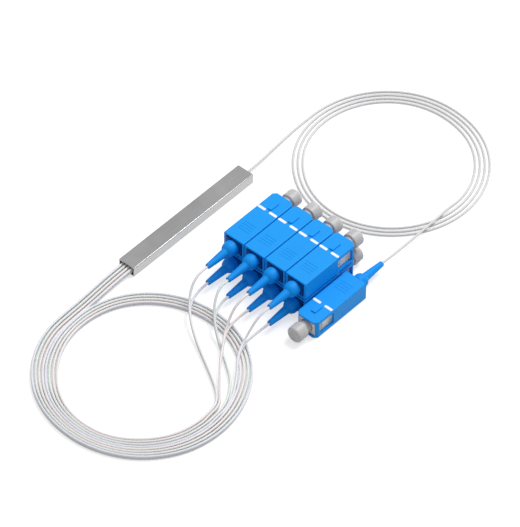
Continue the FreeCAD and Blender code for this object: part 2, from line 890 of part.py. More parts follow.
# ---------------------------------------------------------------- routes of the free jackets
# The two fibres of a column share a plan, and the lower one lies on the floor first. The routes
# run from the coil's end towards a boot, whose tip is each route's last point.
LOWER_TAILS = (
    (
        (-60.27, -64.51, 0.45),
        (-55.2, -64.1, 0.45),
        (-50.6, -60.1, 0.45),
        (-46.6, -53.9, 0.45),
        (-42.9, -47.4, 0.45),
        (-39.3, -41.0, 0.9),
        (-35.6, -35.2, 2.2),
        (-31.7, -30.45, 3.2),
        (-27.6, -27.6, 3.3),
        (-22.8, -26.4, 3.65),
    ),
    (
        (-60.08, -67.0, 0.45),
        (-54.1, -66.53, 0.45),
        (-48.2, -63.6, 0.45),
        (-43.6, -59.9, 0.45),
        (-40.2, -55.4, 0.45),
        (-37.2, -50.9, 0.45),
        (-34.2, -46.2, 0.9),
        (-30.8, -41.15, 3.2),
        (-27.0, -37.6, 3.3),
        (-22.7, -35.95, 3.6),
    ),
    (
        (-60.19, -65.51, 0.45),
        (-54.7, -65.08, 0.45),
        (-50.0, -61.0, 0.5),
        (-46.2, -57.4, 1.3),
        (-41.2, -53.1, 3.1),
        (-36.4, -49.9, 3.4),
        (-31.6, -46.45, 3.4),
        (-27.1, -44.8, 3.5),
        (-22.6, -44.55, 3.65),
    ),
    (
        (-60.0, -68.0, 0.45),
        (-53.6, -67.5, 0.45),
        (-47.6, -65.0, 0.45),
        (-42.0, -61.2, 1.2),
        (-37.4, -57.3, 3.2),
        (-33.0, -54.75, 3.3),
        (-28.5, -53.7, 3.4),
        (-23.1, -53.75, 3.6),
    ),
)
# The upper fibre of a column keeps the lower one's first points, one layer up, then climbs.
SHARED_POINTS = (7, 7, 6, 5)
UPPER_CLIMBS = (
    (
        (-31.9, -30.55, 4.4),
        (-29.2, -28.2, 5.9),
        (-26.8, -26.8, 8.3),
        (-24.1, -26.25, 10.6),
        (-21.1, -26.1, 11.6),
    ),
    (
        (-31.0, -41.35, 4.5),
        (-28.6, -38.9, 5.9),
        (-26.3, -37.0, 8.3),
        (-23.7, -35.95, 10.6),
        (-20.9, -35.5, 11.6),
    ),
    (
        (-31.8, -46.55, 4.4),
        (-28.9, -45.2, 5.8),
        (-26.4, -44.6, 8.2),
        (-23.8, -44.55, 10.5),
        (-21.0, -44.7, 11.6),
    ),
    (
        (-33.0, -54.75, 4.3),
        (-29.6, -53.8, 5.4),
        (-26.7, -53.7, 7.9),
        (-24.0, -53.85, 10.3),
        (-21.1, -54.0, 11.6),
    ),
)
# The tube's columns, outermost first, feed the plug columns in this order.
COLUMN_OF_LEAD = (3, 1, 2, 0)
INPUT_LEAD = (
    (35.0, 0.0, 2.0),
    (46.0, 1.5, 1.0),
    (57.3, 2.7, 0.45),
    (68.3, 2.7, 0.45),
)
INPUT_TAIL = (
    (68.3, -61.35, 0.45),
    (65.8, -61.35, 0.5),
    (62.6, -61.8, 1.9),
    (58.7, -62.5, 2.5),
    (51.5, -63.0, 2.6),
    (45.4, -63.15, 2.3),
    (39.0, -63.4, 2.4),
    (32.9, -63.7, 3.2),
)


def as_vectors(points):
    """Points as vectors."""
    return [V(*point) for point in points]


def output_lead(lead, row):
    """The route of one output fibre from the tube's seal down to the coil's outer end."""
    y = number(lead_y(lead))
    start_z = number(("lower_lead_z", "upper_lead_z")[row])
    floor_z = number(f"jacket_diameter / 2 + {row} * layer_pitch")
    bend_x, floor_x = LEAD_BEND_X
    return [
        V(-number(SEAL_BACK), y, start_z),
        V(bend_x, y, start_z),
        V(floor_x, y, floor_z),
        V(number("output_coil_x"), y, floor_z),
    ]


def output_tail(column, row):
    """The route of one output fibre from the coil's inner end to its boot."""
    points = as_vectors(LOWER_TAILS[column])
    if row == 1:
        lift = V(0, 0, number("layer_pitch"))
        shared = points[: SHARED_POINTS[column]]
        points = [point + lift for point in shared] + as_vectors(UPPER_CLIMBS[column])
    return points + [on_plug_axis(row * COLUMNS + column + 1, BOOT_BACK)]


# ---------------------------------------------------------------- plugs in their places
def plug_names():
    """Every plug's name and position, the outputs first."""
    return [(f"output_{n}", n) for n in range(1, COLUMNS * ROWS + 1)] + [("input", INPUT)]


def plug_place(position):
    """The three expressions of one plug's place: 0 is the input, the outputs count from 1."""
    if position == INPUT:
        last_column = f"first_column_y - {COLUMNS - 1} * ( grip_width + column_gap )"
        return "input_back_x", last_column + " - grip_width - input_gap", "grip_height / 2"
    row, column = divmod(position - 1, COLUMNS)
    height = f"grip_height / 2 + {row} * ( grip_height + key_height + row_gap )"
    return "output_back_x", f"first_column_y - {column} * ( grip_width + column_gap )", height


def on_plug_axis(position, along):
    """The point of one plug's axis at a place given by an expression in the plug's frame."""
    x, y, z = (number(text) for text in plug_place(position))
    forward = -1 if position == INPUT else 1
    return V(x + forward * number(along), y, z)


def seat(copy, position):
    """Bind a copy's placement to the place of one plug; the input plug faces the other way."""
    if position == INPUT:
        copy.Placement = FreeCAD.Placement(V(0, 0, 0), FreeCAD.Rotation(V(0, 0, 1), 180))
    for axis, text in zip("xyz", plug_place(position)):
        copy.setExpression("Placement.Base." + axis, bound(text))


def copy_of(name, masters, position):
    """One plug's own copy of some master pieces, in its place."""
    copy = doc.addObject("Part::Compound", name)
    copy.Links = masters
    seat(copy, position)
    return copy


def make_plugs():
    """Every plug: its own grip, ferrule, cap and boot, and the shared groups of inner pieces."""
    masters = {
        "grip": [make_grip()],
        "ferrule": [make_ferrule(), make_flange()],
        "cap": [make_dust_cap()],
        "boot": [make_boot()],
    }
    grouped = {
        "plug_frames": [make_plug_frame()],
        "rear_bodies": [make_rear_body()],
        "springs": [make_spring()],
        "crimp_rings": [make_crimp_ring()],
    }
    nodes = []
    for plug, position in plug_names():
        place, _, digit = plug.partition("_")
        for piece, bodies in masters.items():
            name = f"{place}_{piece}_{digit}" if digit else f"{place}_{piece}"
            nodes.append(copy_of(name, bodies, position))
    for group, bodies in grouped.items():
        copies = [copy_of(f"{group}_{plug}", bodies, position) for plug, position in plug_names()]
        node = doc.addObject("Part::Compound", group)
        node.Links = copies
        nodes.append(node)
    return nodes


def stretch_in_boot(position):
    """The straight jacket inside one plug's boot, which ends in the rear body's post."""
    start = on_plug_axis(position, BOOT_BACK)
    end = on_plug_axis(position, POST_BACK + " + jacket_end")
    return rod_between(start, end, number("jacket_diameter"))


def make_fibre(name, position, lead, tail):
    """One jacketed fibre: its free tubes before and after the coil, and its end in a boot."""
    tubes = [jacket_tube(name, lead), jacket_tube(name, tail), stretch_in_boot(position)]
    return feature_of(name, Part.makeCompound(tubes))


def make_fibres():
    """Every jacketed fibre, the outputs first."""
    nodes = []
    for lead, column in enumerate(COLUMN_OF_LEAD):
        for row in range(ROWS):
            position = row * COLUMNS + column + 1
            route = output_lead(lead, row), output_tail(column, row)
            nodes.append(make_fibre(f"output_fibre_{position}", position, *route))
    start = V(number(SEAL_BACK), 0, number("tube_height / 2"))
    input_route = [start] + as_vectors(INPUT_LEAD)
    input_tail = as_vectors(INPUT_TAIL) + [on_plug_axis(INPUT, BOOT_BACK)]
    nodes.append(make_fibre("input_fibre", INPUT, input_route, input_tail))
    return nodes


# ---------------------------------------------------------------- build, check and write
def check_objects():
    """Stop if any object of the document failed to build."""
    for item in doc.Objects:
        if {"Invalid", "Error"} & set(item.State):
            raise RuntimeError(f"{item.Label} did not build: {item.State}")


def write_nodes(nodes):
    """Check every node's shape and write it to its own file."""
    for node in nodes:
        shape = node.Shape
        if shape.isNull() or not shape.isValid() or not shape.Solids:
            raise RuntimeError(f"{node.Label} has no valid solid")
    os.makedirs("parts", exist_ok=True)
    for node in nodes:
        node.Shape.exportStep(f"parts/{node.Label}.step")
        print(f"{node.Label}: {len(node.Shape.Solids)} solids, {node.Shape.Volume:.2f} mm3")


NODES = make_module()
NODES.append(make_bare_fibres())
NODES += make_plugs()
NODES += make_fibres()
NODES += [make_output_coil(), make_input_coil()]
doc.recompute()
check_objects()
write_nodes(NODES)
print(f"{len(NODES)} nodes")
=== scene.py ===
"""A 1 by 8 optical fibre splitter, laid out on a pale table.

A slim steel module holds the splitter chip. One jacketed fibre leaves it, winds into a loose coil
and ends in a plug. Eight jacketed fibres leave the other end in two layers, wind into a second
coil and end in a stack of eight plugs, four wide and two high. Every plug wears its dust cap.

The construction arrives packed, as a fixed frame of plain solids. This script lays the fibres
along their routes, gives the moulded and turned pieces their soft edges, tapers and inked marks,
dresses every surface in its finish and lights the whole. All lengths are in metres.

A plug is drawn in a frame of its own: the origin is on the plug's axis at the back face of its
grip, +X runs towards the ferrule's tip, Y runs across the grip's wide face and +Z is up.
"""

from __future__ import annotations

import logging
import math
from collections.abc import Callable, Mapping, Sequence
from dataclasses import dataclass
from enum import Enum

import bmesh
import bpy
from mathutils import Matrix, Vector


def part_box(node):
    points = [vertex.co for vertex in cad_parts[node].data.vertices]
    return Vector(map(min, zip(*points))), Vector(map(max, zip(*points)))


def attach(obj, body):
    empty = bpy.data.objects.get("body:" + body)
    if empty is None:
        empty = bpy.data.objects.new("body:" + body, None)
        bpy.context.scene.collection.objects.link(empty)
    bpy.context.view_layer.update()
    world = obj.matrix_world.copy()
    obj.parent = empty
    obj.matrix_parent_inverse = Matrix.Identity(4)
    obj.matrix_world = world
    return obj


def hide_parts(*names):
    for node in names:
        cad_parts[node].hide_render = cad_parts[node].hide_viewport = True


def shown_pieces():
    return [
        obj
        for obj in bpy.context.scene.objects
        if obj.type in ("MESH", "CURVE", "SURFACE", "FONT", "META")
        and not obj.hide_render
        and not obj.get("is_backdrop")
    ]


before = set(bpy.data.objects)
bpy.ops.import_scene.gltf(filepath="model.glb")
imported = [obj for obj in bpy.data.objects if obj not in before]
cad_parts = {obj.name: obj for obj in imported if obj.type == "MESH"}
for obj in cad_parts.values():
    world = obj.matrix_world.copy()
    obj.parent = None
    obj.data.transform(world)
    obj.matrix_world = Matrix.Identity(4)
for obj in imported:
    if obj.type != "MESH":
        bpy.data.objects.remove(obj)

LOG = logging.getLogger("fibre_splitter")
MM = 0.001
COLUMNS = 4
ROWS = 2
FLANGE_REACH = 7.0 * MM  # from the back of a ferrule's steel stem to the front of its flange
SQUARE_ON = 0.9999  # the least share of a normal that points along an axis, for a face square to it
SAME_POLE = 1e-7  # points of a turned shape that lie nearer than this are one
SAME_CORNER = 1e-6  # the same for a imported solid's corners
FULL_TURN = 360.0

Colour = tuple[float, float, float]
Point = tuple[float, float, float]
Profile = Sequence[tuple[float, float]]
Table = Sequence[tuple[float, float]]
Route = Sequence[Point]
Owner = bpy.types.Material | bpy.types.World


# -------------------- shader maths
class Wire:
    """A value in a shader's node tree, on which Python arithmetic adds Math nodes."""

    def __init__(self, graph: ShaderGraph, socket: bpy.types.NodeSocket) -> None:
        """Wrap one output socket.

        Args:
            graph: The tree that the socket belongs to.
            socket: The output socket that carries the value.
        """
        self.graph = graph
        self.socket = socket

    def _maths(self, operation: str, first: Wire | float, second: Wire | float) -> Wire:
        """Add a Math node and return its value."""
        return self.graph.add("ShaderNodeMath", {"operation": operation}, {0: first, 1: second})

    def __add__(self, other: Wire | float) -> Wire:
        """Return this value plus another."""
        return self._maths("ADD", self, other)

    def __radd__(self, other: float) -> Wire:
        """Return a number plus this value."""
        return self._maths("ADD", other, self)

    def __sub__(self, other: Wire | float) -> Wire:
        """Return this value less another."""
        return self._maths("SUBTRACT", self, other)

    def __rsub__(self, other: float) -> Wire:
        """Return a number less this value."""
        return self._maths("SUBTRACT", other, self)

    def __mul__(self, other: Wire | float) -> Wire:
        """Return this value times another."""
        return self._maths("MULTIPLY", self, other)

    def __rmul__(self, other: float) -> Wire:
        """Return a number times this value."""
        return self._maths("MULTIPLY", other, self)

    def or_more(self, other: Wire) -> Wire:
        """Return this value or another, whichever is greater."""
        return self._maths("MAXIMUM", self, other)

    def above(self, limit: float) -> Wire:
        """Return 1 where this value is over a limit, else 0."""
        return self._maths("GREATER_THAN", self, limit)

    def clamped(self) -> Wire:
        """Return this value held between 0 and 1."""
        return self.graph.add("ShaderNodeClamp", {}, {"Value": self})


class ShaderGraph:
    """The node tree of a material or a world, with the few moves that the finishes need."""

    def __init__(self, owner: Owner) -> None:
        """Turn on the owner's nodes and find the one that makes its surface or background.

        Args:
            owner: The material or world.
        """
        owner.use_nodes = True
        self.tree = owner.node_tree
        kinds = ("BSDF_PRINCIPLED", "BACKGROUND")
        self.surface = next(node for node in self.tree.nodes if node.type in kinds)

    def add(
        self,
        kind: str,
        settings: Mapping[str, object] | None = None,
        values: Mapping[str | int, object] | None = None,
        output: str | int = 0,
    ) -> Wire:
        """Add one node, set it up and connect it.

        Args:
            kind: The node's type.
            settings: Its settings, which are set first.
            values: What goes into its sockets, by name or place: numbers, colours or wires.
            output: The output socket that is wanted.

        Returns:
            The wanted output.
        """
        node = self.tree.nodes.new(kind)
        for name, value in (settings or {}).items():
            setattr(node, name, value)
        for name, value in (values or {}).items():
            self.feed(node.inputs[name], value)
        return Wire(self, node.outputs[output])

    def feed(self, socket: bpy.types.NodeSocket, value: object) -> None:
        """Link a wire to a socket, or set the socket's own value.

        Args:
            socket: The input socket.
            value: A wire, a number, a colour or a vector.
        """
        if isinstance(value, Wire):
            self.tree.links.new(value.socket, socket)
        else:
            socket.default_value = value

    def place(self, scale: Point = (1.0, 1.0, 1.0)) -> Wire:
        """Read the object's own coordinates, stretched along its axes.

        Args:
            scale: How much each axis is stretched.

        Returns:
            The coordinates.
        """
        coordinates = self.add("ShaderNodeTexCoord", output="Object")
        return self.add("ShaderNodeMapping", {}, {"Vector": coordinates, "Scale": scale})

    def axis(self, name: str) -> Wire:
        """Read one of the object's own coordinates.

        Args:
            name: X, Y or Z.

        Returns:
            The coordinate, in metres.
        """
        coordinates = self.add("ShaderNodeTexCoord", output="Object")
        return self.add("ShaderNodeSeparateXYZ", {}, {"Vector": coordinates}, name)

    def noise(self, where: Wire, scale: float, detail: float = 3.0, roughness: float = 0.5) -> Wire:
        """Read soft noise.

        Args:
            where: The coordinates that it is read at.
            scale: Its features in a metre.
            detail: How many finer layers it has.
            roughness: How strong the finer layers are.

        Returns:
            The noise, from 0 to 1.
        """
        values = {"Vector": where, "Scale": scale, "Detail": detail, "Roughness": roughness}
        return self.add("ShaderNodeTexNoise", {}, values)

    def mix(self, factor: Wire | float, low: Colour | Wire, high: Colour | Wire) -> Wire:
        """Mix two colours.

        Args:
            factor: How much of the second colour there is, from 0 to 1.
            low: The first colour.
            high: The second colour.

        Returns:
            The mixed colour.
        """
        first, second = (c if isinstance(c, Wire) else (*c, 1.0) for c in (low, high))
        settings = {"data_type": "RGBA", "clamp_factor": True}
        return self.add("ShaderNodeMix", settings, {0: factor, 6: first, 7: second}, 2)

    def bump(self, height: Wire, depth: float) -> Wire:
        """Raise the surface by a height map.

        Args:
            height: The height, from 0 to 1.
            depth: How far a height of 1 stands up, in metres.

        Returns:
            The normal.
        """
        return self.add("ShaderNodeBump", {}, {"Height": height, "Distance": depth}, "Normal")

    def dress(self, **sockets: object) -> None:
        """Feed the surface or background node.

        Args:
            **sockets: Its sockets by name, where underscores stand for spaces.
        """
        for name, value in sockets.items():
            wanted = value if isinstance(value, (Wire, float, Vector)) else (*value, 1.0)
            self.feed(self.surface.inputs[name.replace("_", " ")], wanted)


def tint(red: int, green: int, blue: int) -> Colour:
    """Work out the linear colour of a screen swatch.

    Args:
        red: Its red, from 0 to 255.
        green: Its green.
        blue: Its blue.

    Returns:
        The colour.
    """
    shares = (channel / 255 for channel in (red, green, blue))
    return tuple(s / 12.92 if s <= 0.04045 else ((s + 0.055) / 1.055) ** 2.4 for s in shares)


def darker(colour: Colour, share: float) -> Colour:
    """Return a share of a colour."""
    return tuple(channel * share for channel in colour)


# -------------------- finishes
@dataclass(frozen=True)
class Finish:
    """A surface finish, made into a material once and then shared."""

    name: str

    def material(self) -> bpy.types.Material:
        """Build the finish's material the first time that it is wanted.

        Returns:
            The material.
        """
        known = bpy.data.materials.get(self.name)
        if known:
            return known
        made = bpy.data.materials.new(self.name)
        self.compose(ShaderGraph(made))
        return made

    def compose(self, graph: ShaderGraph) -> None:
        """Build the finish in a new material's tree."""
        raise NotImplementedError


@dataclass(frozen=True)
class Moulded(Finish):
    """Injection moulded plastic: a fine eroded grain, faint flow marks and a soft sheen."""

    colour: Colour
    deep: Colour
    roughness: float
    grain: float = 9000.0
    grain_depth: float = 4e-6
    grains_in_speck: float = 6.0
    flow: float = 260.0
    flow_stretch: Point = (1.0, 2.6, 2.6)
    sheen: float = 0.5

    def compose(self, graph: ShaderGraph) -> None:
        """Mix the colour by the flow marks and raise the grain.

        Args:
            graph: The new material's tree.
        """
        flow = graph.noise(graph.place(self.flow_stretch), self.flow, 2.0)
        grain = graph.noise(graph.place(), self.grain, 2.0, 0.6)
        speck = graph.noise(graph.place(), self.grain / self.grains_in_speck, 3.0)
        blend = (flow * 0.7 + speck * 0.5 - 0.1).clamped()
        graph.dress(
            Base_Color=graph.mix(blend, self.deep, self.colour),
            Roughness=(grain * 0.12 + speck * 0.10 + (self.roughness - 0.11)).clamped(),
            Normal=graph.bump(grain * 0.6 + speck * 0.4, self.grain_depth),
            Specular_IOR_Level=self.sheen,
        )


@dataclass(frozen=True)
class DrawnSteel(Finish):
    """A cold drawn stainless tube: long fine die lines along X and a few handling smears."""

    colour: Colour
    dull: Colour
    roughness: float = 0.32
    line_stretch: Point = (9.0, 1100.0, 1100.0)
    line_depth: float = 2.5e-6
    band_stretch: Point = (14.0, 260.0, 260.0)
    smear: float = 95.0

    def compose(self, graph: ShaderGraph) -> None:
        """Stretch the die lines along X and let smears change the polish.

        Args:
            graph: The new material's tree.
        """
        lines = graph.noise(graph.place(self.line_stretch), 7.0, 6.0, 0.7)
        bands = graph.noise(graph.place(self.band_stretch), 2.0, 3.0)
        smear = graph.noise(graph.place(), self.smear, 4.0, 0.6)
        shade = (lines * 0.6 + bands * 0.5 - 0.05).clamped()
        graph.dress(
            Base_Color=graph.mix(shade, self.dull, self.colour),
            Metallic=1.0,
            Roughness=(lines * 0.16 + smear * 0.16 + (self.roughness - 0.16)).clamped(),
            Normal=graph.bump(lines, self.line_depth),
        )


@dataclass(frozen=True)
class Jacket(Finish):
    """The smooth tight jacket of a fibre: a pale tinted polymer with faint draw waves."""

    colour: Colour
    wash: Colour
    drift: float = 55.0
    wave: float = 1500.0
    wave_depth: float = 3e-6

    def compose(self, graph: ShaderGraph) -> None:
        """Let the tint come and go along the fibre.

        Args:
            graph: The new material's tree.
        """
        drift = graph.noise(graph.place(), self.drift, 2.0)
        wave = graph.noise(graph.place(), self.wave, 2.0)
        graph.dress(
            Base_Color=graph.mix((drift * 1.6 - 0.3).clamped(), self.wash, self.colour),
            Roughness=(wave * 0.12 + 0.26).clamped(),
            Normal=graph.bump(wave, self.wave_depth),
            Specular_IOR_Level=0.35,
        )


@dataclass(frozen=True)
class SoftCap(Finish):
    """Unfilled flexible plastic: milky, with a faint swirl and a fine grain."""

    colour: Colour
    deep: Colour
    light_reach: float = 1.5 * MM
    swirl: float = 420.0
    grain: float = 7000.0
    grain_depth: float = 3e-6

    def compose(self, graph: ShaderGraph) -> None:
        """Mix a milky body with slightly darker swirls, and let light wander under its skin.

        Args:
            graph: The new material's tree.
        """
        swirl = graph.noise(graph.place(), self.swirl, 4.0, 0.55)
        grain = graph.noise(graph.place(), self.grain, 2.0)
        graph.dress(
            Base_Color=graph.mix((swirl * 1.4 - 0.2).clamped(), self.deep, self.colour),
            Roughness=(swirl * 0.14 + grain * 0.08 + 0.26).clamped(),
            Normal=graph.bump(grain, self.grain_depth),
            Specular_IOR_Level=0.4,
            Subsurface_Weight=0.6,
            Subsurface_Scale=self.light_reach,
            Subsurface_Radius=Vector((1.0, 1.0, 1.0)),
        )


@dataclass(frozen=True)
class Ink(Finish):
    """Opaque printing ink laid in a shallow groove, with a slightly uneven film."""

    colour: Colour = (1.0, 1.0, 1.0)
    film: float = 1400.0
    film_depth: float = 6e-6
    thin_share: float = 0.93

    def compose(self, graph: ShaderGraph) -> None:
        """Vary the film's gloss and level it unevenly.

        Args:
            graph: The new material's tree.
        """
        film = graph.noise(graph.place(), self.film, 3.0)
        thin = darker(self.colour, self.thin_share)
        graph.dress(
            Base_Color=graph.mix((film * 1.5 - 0.2).clamped(), thin, self.colour),
            Roughness=(film * 0.2 + 0.45).clamped(),
            Normal=graph.bump(film, self.film_depth),
            Specular_IOR_Level=0.3,
        )


@dataclass(frozen=True)
class Ferrule(Finish):
    """A lapped ceramic ferrule pressed in a turned steel flange, told apart by their place.

    The flange ends at one X for the output plugs and at another for the input plug, which faces
    the other way.
    """

    flange_end: float
    forward: float
    ceramic: Colour = (0.85, 0.83, 0.78)
    steel: Colour = (0.55, 0.54, 0.52)
    ring_stretch: Point = (9000.0, 40.0, 40.0)
    ring_depth: float = 3e-6
    lapping: float = 3000.0

    def compose(self, graph: ShaderGraph) -> None:
        """Switch from steel to ceramic past the flange's front face.

        Args:
            graph: The new material's tree.
        """
        front = (graph.axis("X") * self.forward).above(self.flange_end * self.forward)
        rings = graph.noise(graph.place(self.ring_stretch), 1.0, 2.0)
        lapped = graph.noise(graph.place(), self.lapping, 2.0)
        turned_steel = graph.mix(rings, darker(self.steel, 0.8), self.steel)
        fired = graph.mix(lapped, darker(self.ceramic, 0.97), self.ceramic)
        graph.dress(
            Base_Color=graph.mix(front, turned_steel, fired),
            Metallic=1.0 - front,
            Roughness=(rings * 0.15 + 0.22) * (1.0 - front) + (lapped * 0.08 + 0.10) * front,
            Normal=graph.bump(rings * (1.0 - front), self.ring_depth),
        )


@dataclass(frozen=True)
class Metal(Finish):
    """Bare metal of small turned, drawn or crimped pieces, with fine tool marks."""

    colour: Colour
    roughness: float = 0.3
    mark_stretch: Point = (5200.0, 60.0, 60.0)
    mark_depth: float = 2e-6
    patch: float = 700.0
    dull_share: float = 0.72

    def compose(self, graph: ShaderGraph) -> None:
        """Ring the surface with tool marks and dull it in patches.

        Args:
            graph: The new material's tree.
        """
        marks = graph.noise(graph.place(self.mark_stretch), 1.0, 3.0)
        patch = graph.noise(graph.place(), self.patch, 3.0)
        dull = darker(self.colour, self.dull_share)
        graph.dress(
            Base_Color=graph.mix(patch * 0.6 + marks * 0.4, dull, self.colour),
            Metallic=1.0,
            Roughness=(patch * 0.14 + marks * 0.10 + (self.roughness - 0.12)).clamped(),
            Normal=graph.bump(marks, self.mark_depth),
        )


@dataclass(frozen=True)
class Silica(Finish):
    """Polished silica with the faint haze of a lapped face."""

    colour: Colour = (0.92, 0.95, 0.96)
    haze: float = 900.0
    hazy_share: float = 0.92

    def compose(self, graph: ShaderGraph) -> None:
        """Let the haze change the polish and the tint.

        Args:
            graph: The new material's tree.
        """
        haze = graph.noise(graph.place(), self.haze, 3.0)
        graph.dress(
            Base_Color=graph.mix(haze, darker(self.colour, self.hazy_share), self.colour),
            Roughness=(haze * 0.12 + 0.02).clamped(),
            Transmission_Weight=0.8,
            IOR=1.46,
        )


class Palette(Enum):
    """Every finish on the part."""

    GRIP = Moulded("grip_blue", tint(2, 162, 252), tint(1, 154, 246), 0.5, sheen=0.26)
    BOOT = Moulded("boot_blue", tint(4, 155, 250), tint(2, 146, 243), 0.55, grain_depth=7e-6, sheen=0.22)
    PLUG_FRAME = Moulded("frame_bone", tint(250, 246, 240), tint(240, 232, 222), 0.46)
    # The rear body has the blue of the grips and boots; its darker navy is painted shade for the cavity
    # behind the boot.
    REAR_BODY = Moulded("rear_navy_painted_shade", tint(4, 74, 152), tint(2, 62, 132), 0.5, sheen=0.2)
    CAP = SoftCap("cap_milky", tint(203, 202, 202), tint(193, 190, 190))
    MARK = Ink("mark_white", (1.0, 1.0, 1.0))
    STEEL = DrawnSteel("module_steel", tint(188, 188, 188), tint(179, 179, 179))
    POTTING = Moulded("potting_black", tint(44, 45, 50), tint(26, 27, 31), 0.55, grain_depth=2e-5)
    SPRING = Metal("spring_steel", tint(190, 190, 192))
    CRIMP = Metal("crimp_nickel", tint(206, 198, 178), 0.26)
    FERRULE_OUT = Ferrule("ferrule_output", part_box("output_ferrule_1")[0].x + FLANGE_REACH, 1.0)
    FERRULE_IN = Ferrule("ferrule_input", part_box("input_ferrule")[1].x - FLANGE_REACH, -1.0)
    GLASS = Silica("silica")
    CHIP = Silica("silica_chip", (0.80, 0.86, 0.90))
    JACKET_WHITE = Jacket("jacket_white", tint(247, 247, 248), tint(239, 239, 241))
    # The input fibre's jacket is the white jacket darkened to grey, as painted shade along the strand.
    JACKET_INPUT_SHADED = Jacket("jacket_input_painted_shade", tint(229, 229, 230), tint(219, 219, 221))
    JACKET_LILAC = Jacket("jacket_lilac", tint(244, 242, 250), tint(235, 233, 244))
    JACKET_GREEN = Jacket("jacket_green", tint(241, 248, 243), tint(231, 240, 235))
    JACKET_MINT = Jacket("jacket_mint", tint(243, 248, 245), tint(235, 240, 237))
    JACKET_PINK = Jacket("jacket_pink", tint(251, 243, 243), tint(244, 233, 235))
    JACKET_PEACH = Jacket("jacket_peach", tint(252, 246, 241), tint(244, 236, 232))
    JACKET_GREY = Jacket("jacket_grey", tint(242, 243, 246), tint(231, 233, 238))


# -------------------- mesh workshop
def piece_from(
    name: str, shape: bmesh.types.BMesh, finish: Palette, smooth: float = 35.0
) -> bpy.types.Object:
    """Turn a finished bmesh into a piece of the object.

    Args:
        name: The piece's name.
        shape: The bmesh, which is freed.
        finish: What it is dressed in.
        smooth: Edges sharper than this many degrees stay sharp where faces are shaded smooth.

    Returns:
        The new object, at the origin.
    """
    mesh = bpy.data.meshes.new(name)
    shape.to_mesh(mesh)
    curved = [face.smooth for face in shape.faces]
    shape.free()
    mesh.materials.append(finish.value.material())
    # Marking the sharp edges makes every face smooth, so the flat faces are set again after it.
    mesh.set_sharp_from_angle(angle=math.radians(smooth))
    mesh.polygons.foreach_set("use_smooth", curved)
    piece = bpy.data.objects.new(name, mesh)
    bpy.context.scene.collection.objects.link(piece)
    return piece


def dress_node(node: str, finish: Palette) -> None:
    """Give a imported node, whose shape stays, its finish.

    Args:
        node: The node.
        finish: What it is dressed in.
    """
    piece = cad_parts[node]
    piece.data.materials.clear()
    piece.data.materials.append(finish.value.material())


def turned(profile: Profile, steps: int) -> bmesh.types.BMesh:
    """Spin a profile of (along X, radius) points a full turn about the X axis.

    Args:
        profile: The outline; points of radius 0 become poles.
        steps: How many facets the turn has.

    Returns:
        The turned shape, closed where the profile starts and ends on the axis or on itself.
    """
    shape = bmesh.new()
    points = [shape.verts.new((along, 0.0, radius)) for along, radius in profile]
    edges = [shape.edges.new(pair) for pair in zip(points, points[1:])]
    bmesh.ops.spin(
        shape,
        geom=points + edges,
        cent=(0.0, 0.0, 0.0),
        axis=(1.0, 0.0, 0.0),
        angle=math.tau,
        steps=steps,
        use_merge=True,
    )
    bmesh.ops.remove_doubles(shape, verts=shape.verts, dist=SAME_POLE)
    bmesh.ops.recalc_face_normals(shape, faces=shape.faces)
    for face in shape.faces:
        face.smooth = True
    return shape


def arc(
    centre: tuple[float, float], radius: tuple[float, float], start: float, end: float, steps: int
) -> Profile:
    """Work out points of an elliptical arc of a profile, by angles in degrees.

    Args:
        centre: Its centre, along X and out from the axis.
        radius: Its half widths along X and out from the axis.
        start: The first angle, where 0 points along X and 90 out from the axis.
        end: The last angle.
        steps: How many stretches it has.

    Returns:
        The points, the two ends included.
    """
    angles = [math.radians(start + (end - start) * step / steps) for step in range(steps + 1)]
    return [(centre[0] + radius[0] * math.cos(a), centre[1] + radius[1] * math.sin(a)) for a in angles]


def round_edges(
    shape: bmesh.types.BMesh, edges: Sequence[bmesh.types.BMEdge], width: float, segments: int
) -> None:
    """Round some edges of a shape.

    Args:
        shape: The bmesh, which is changed.
        edges: The edges.
        width: How far from each edge the rounding starts.
        segments: How many facets it has.
    """
    bmesh.ops.bevel(
        shape,
        geom=edges,
        offset=width,
        offset_type="OFFSET",
        segments=segments,
        profile=0.5,
        affect="EDGES",
        clamp_overlap=True,
        material=-1,
    )


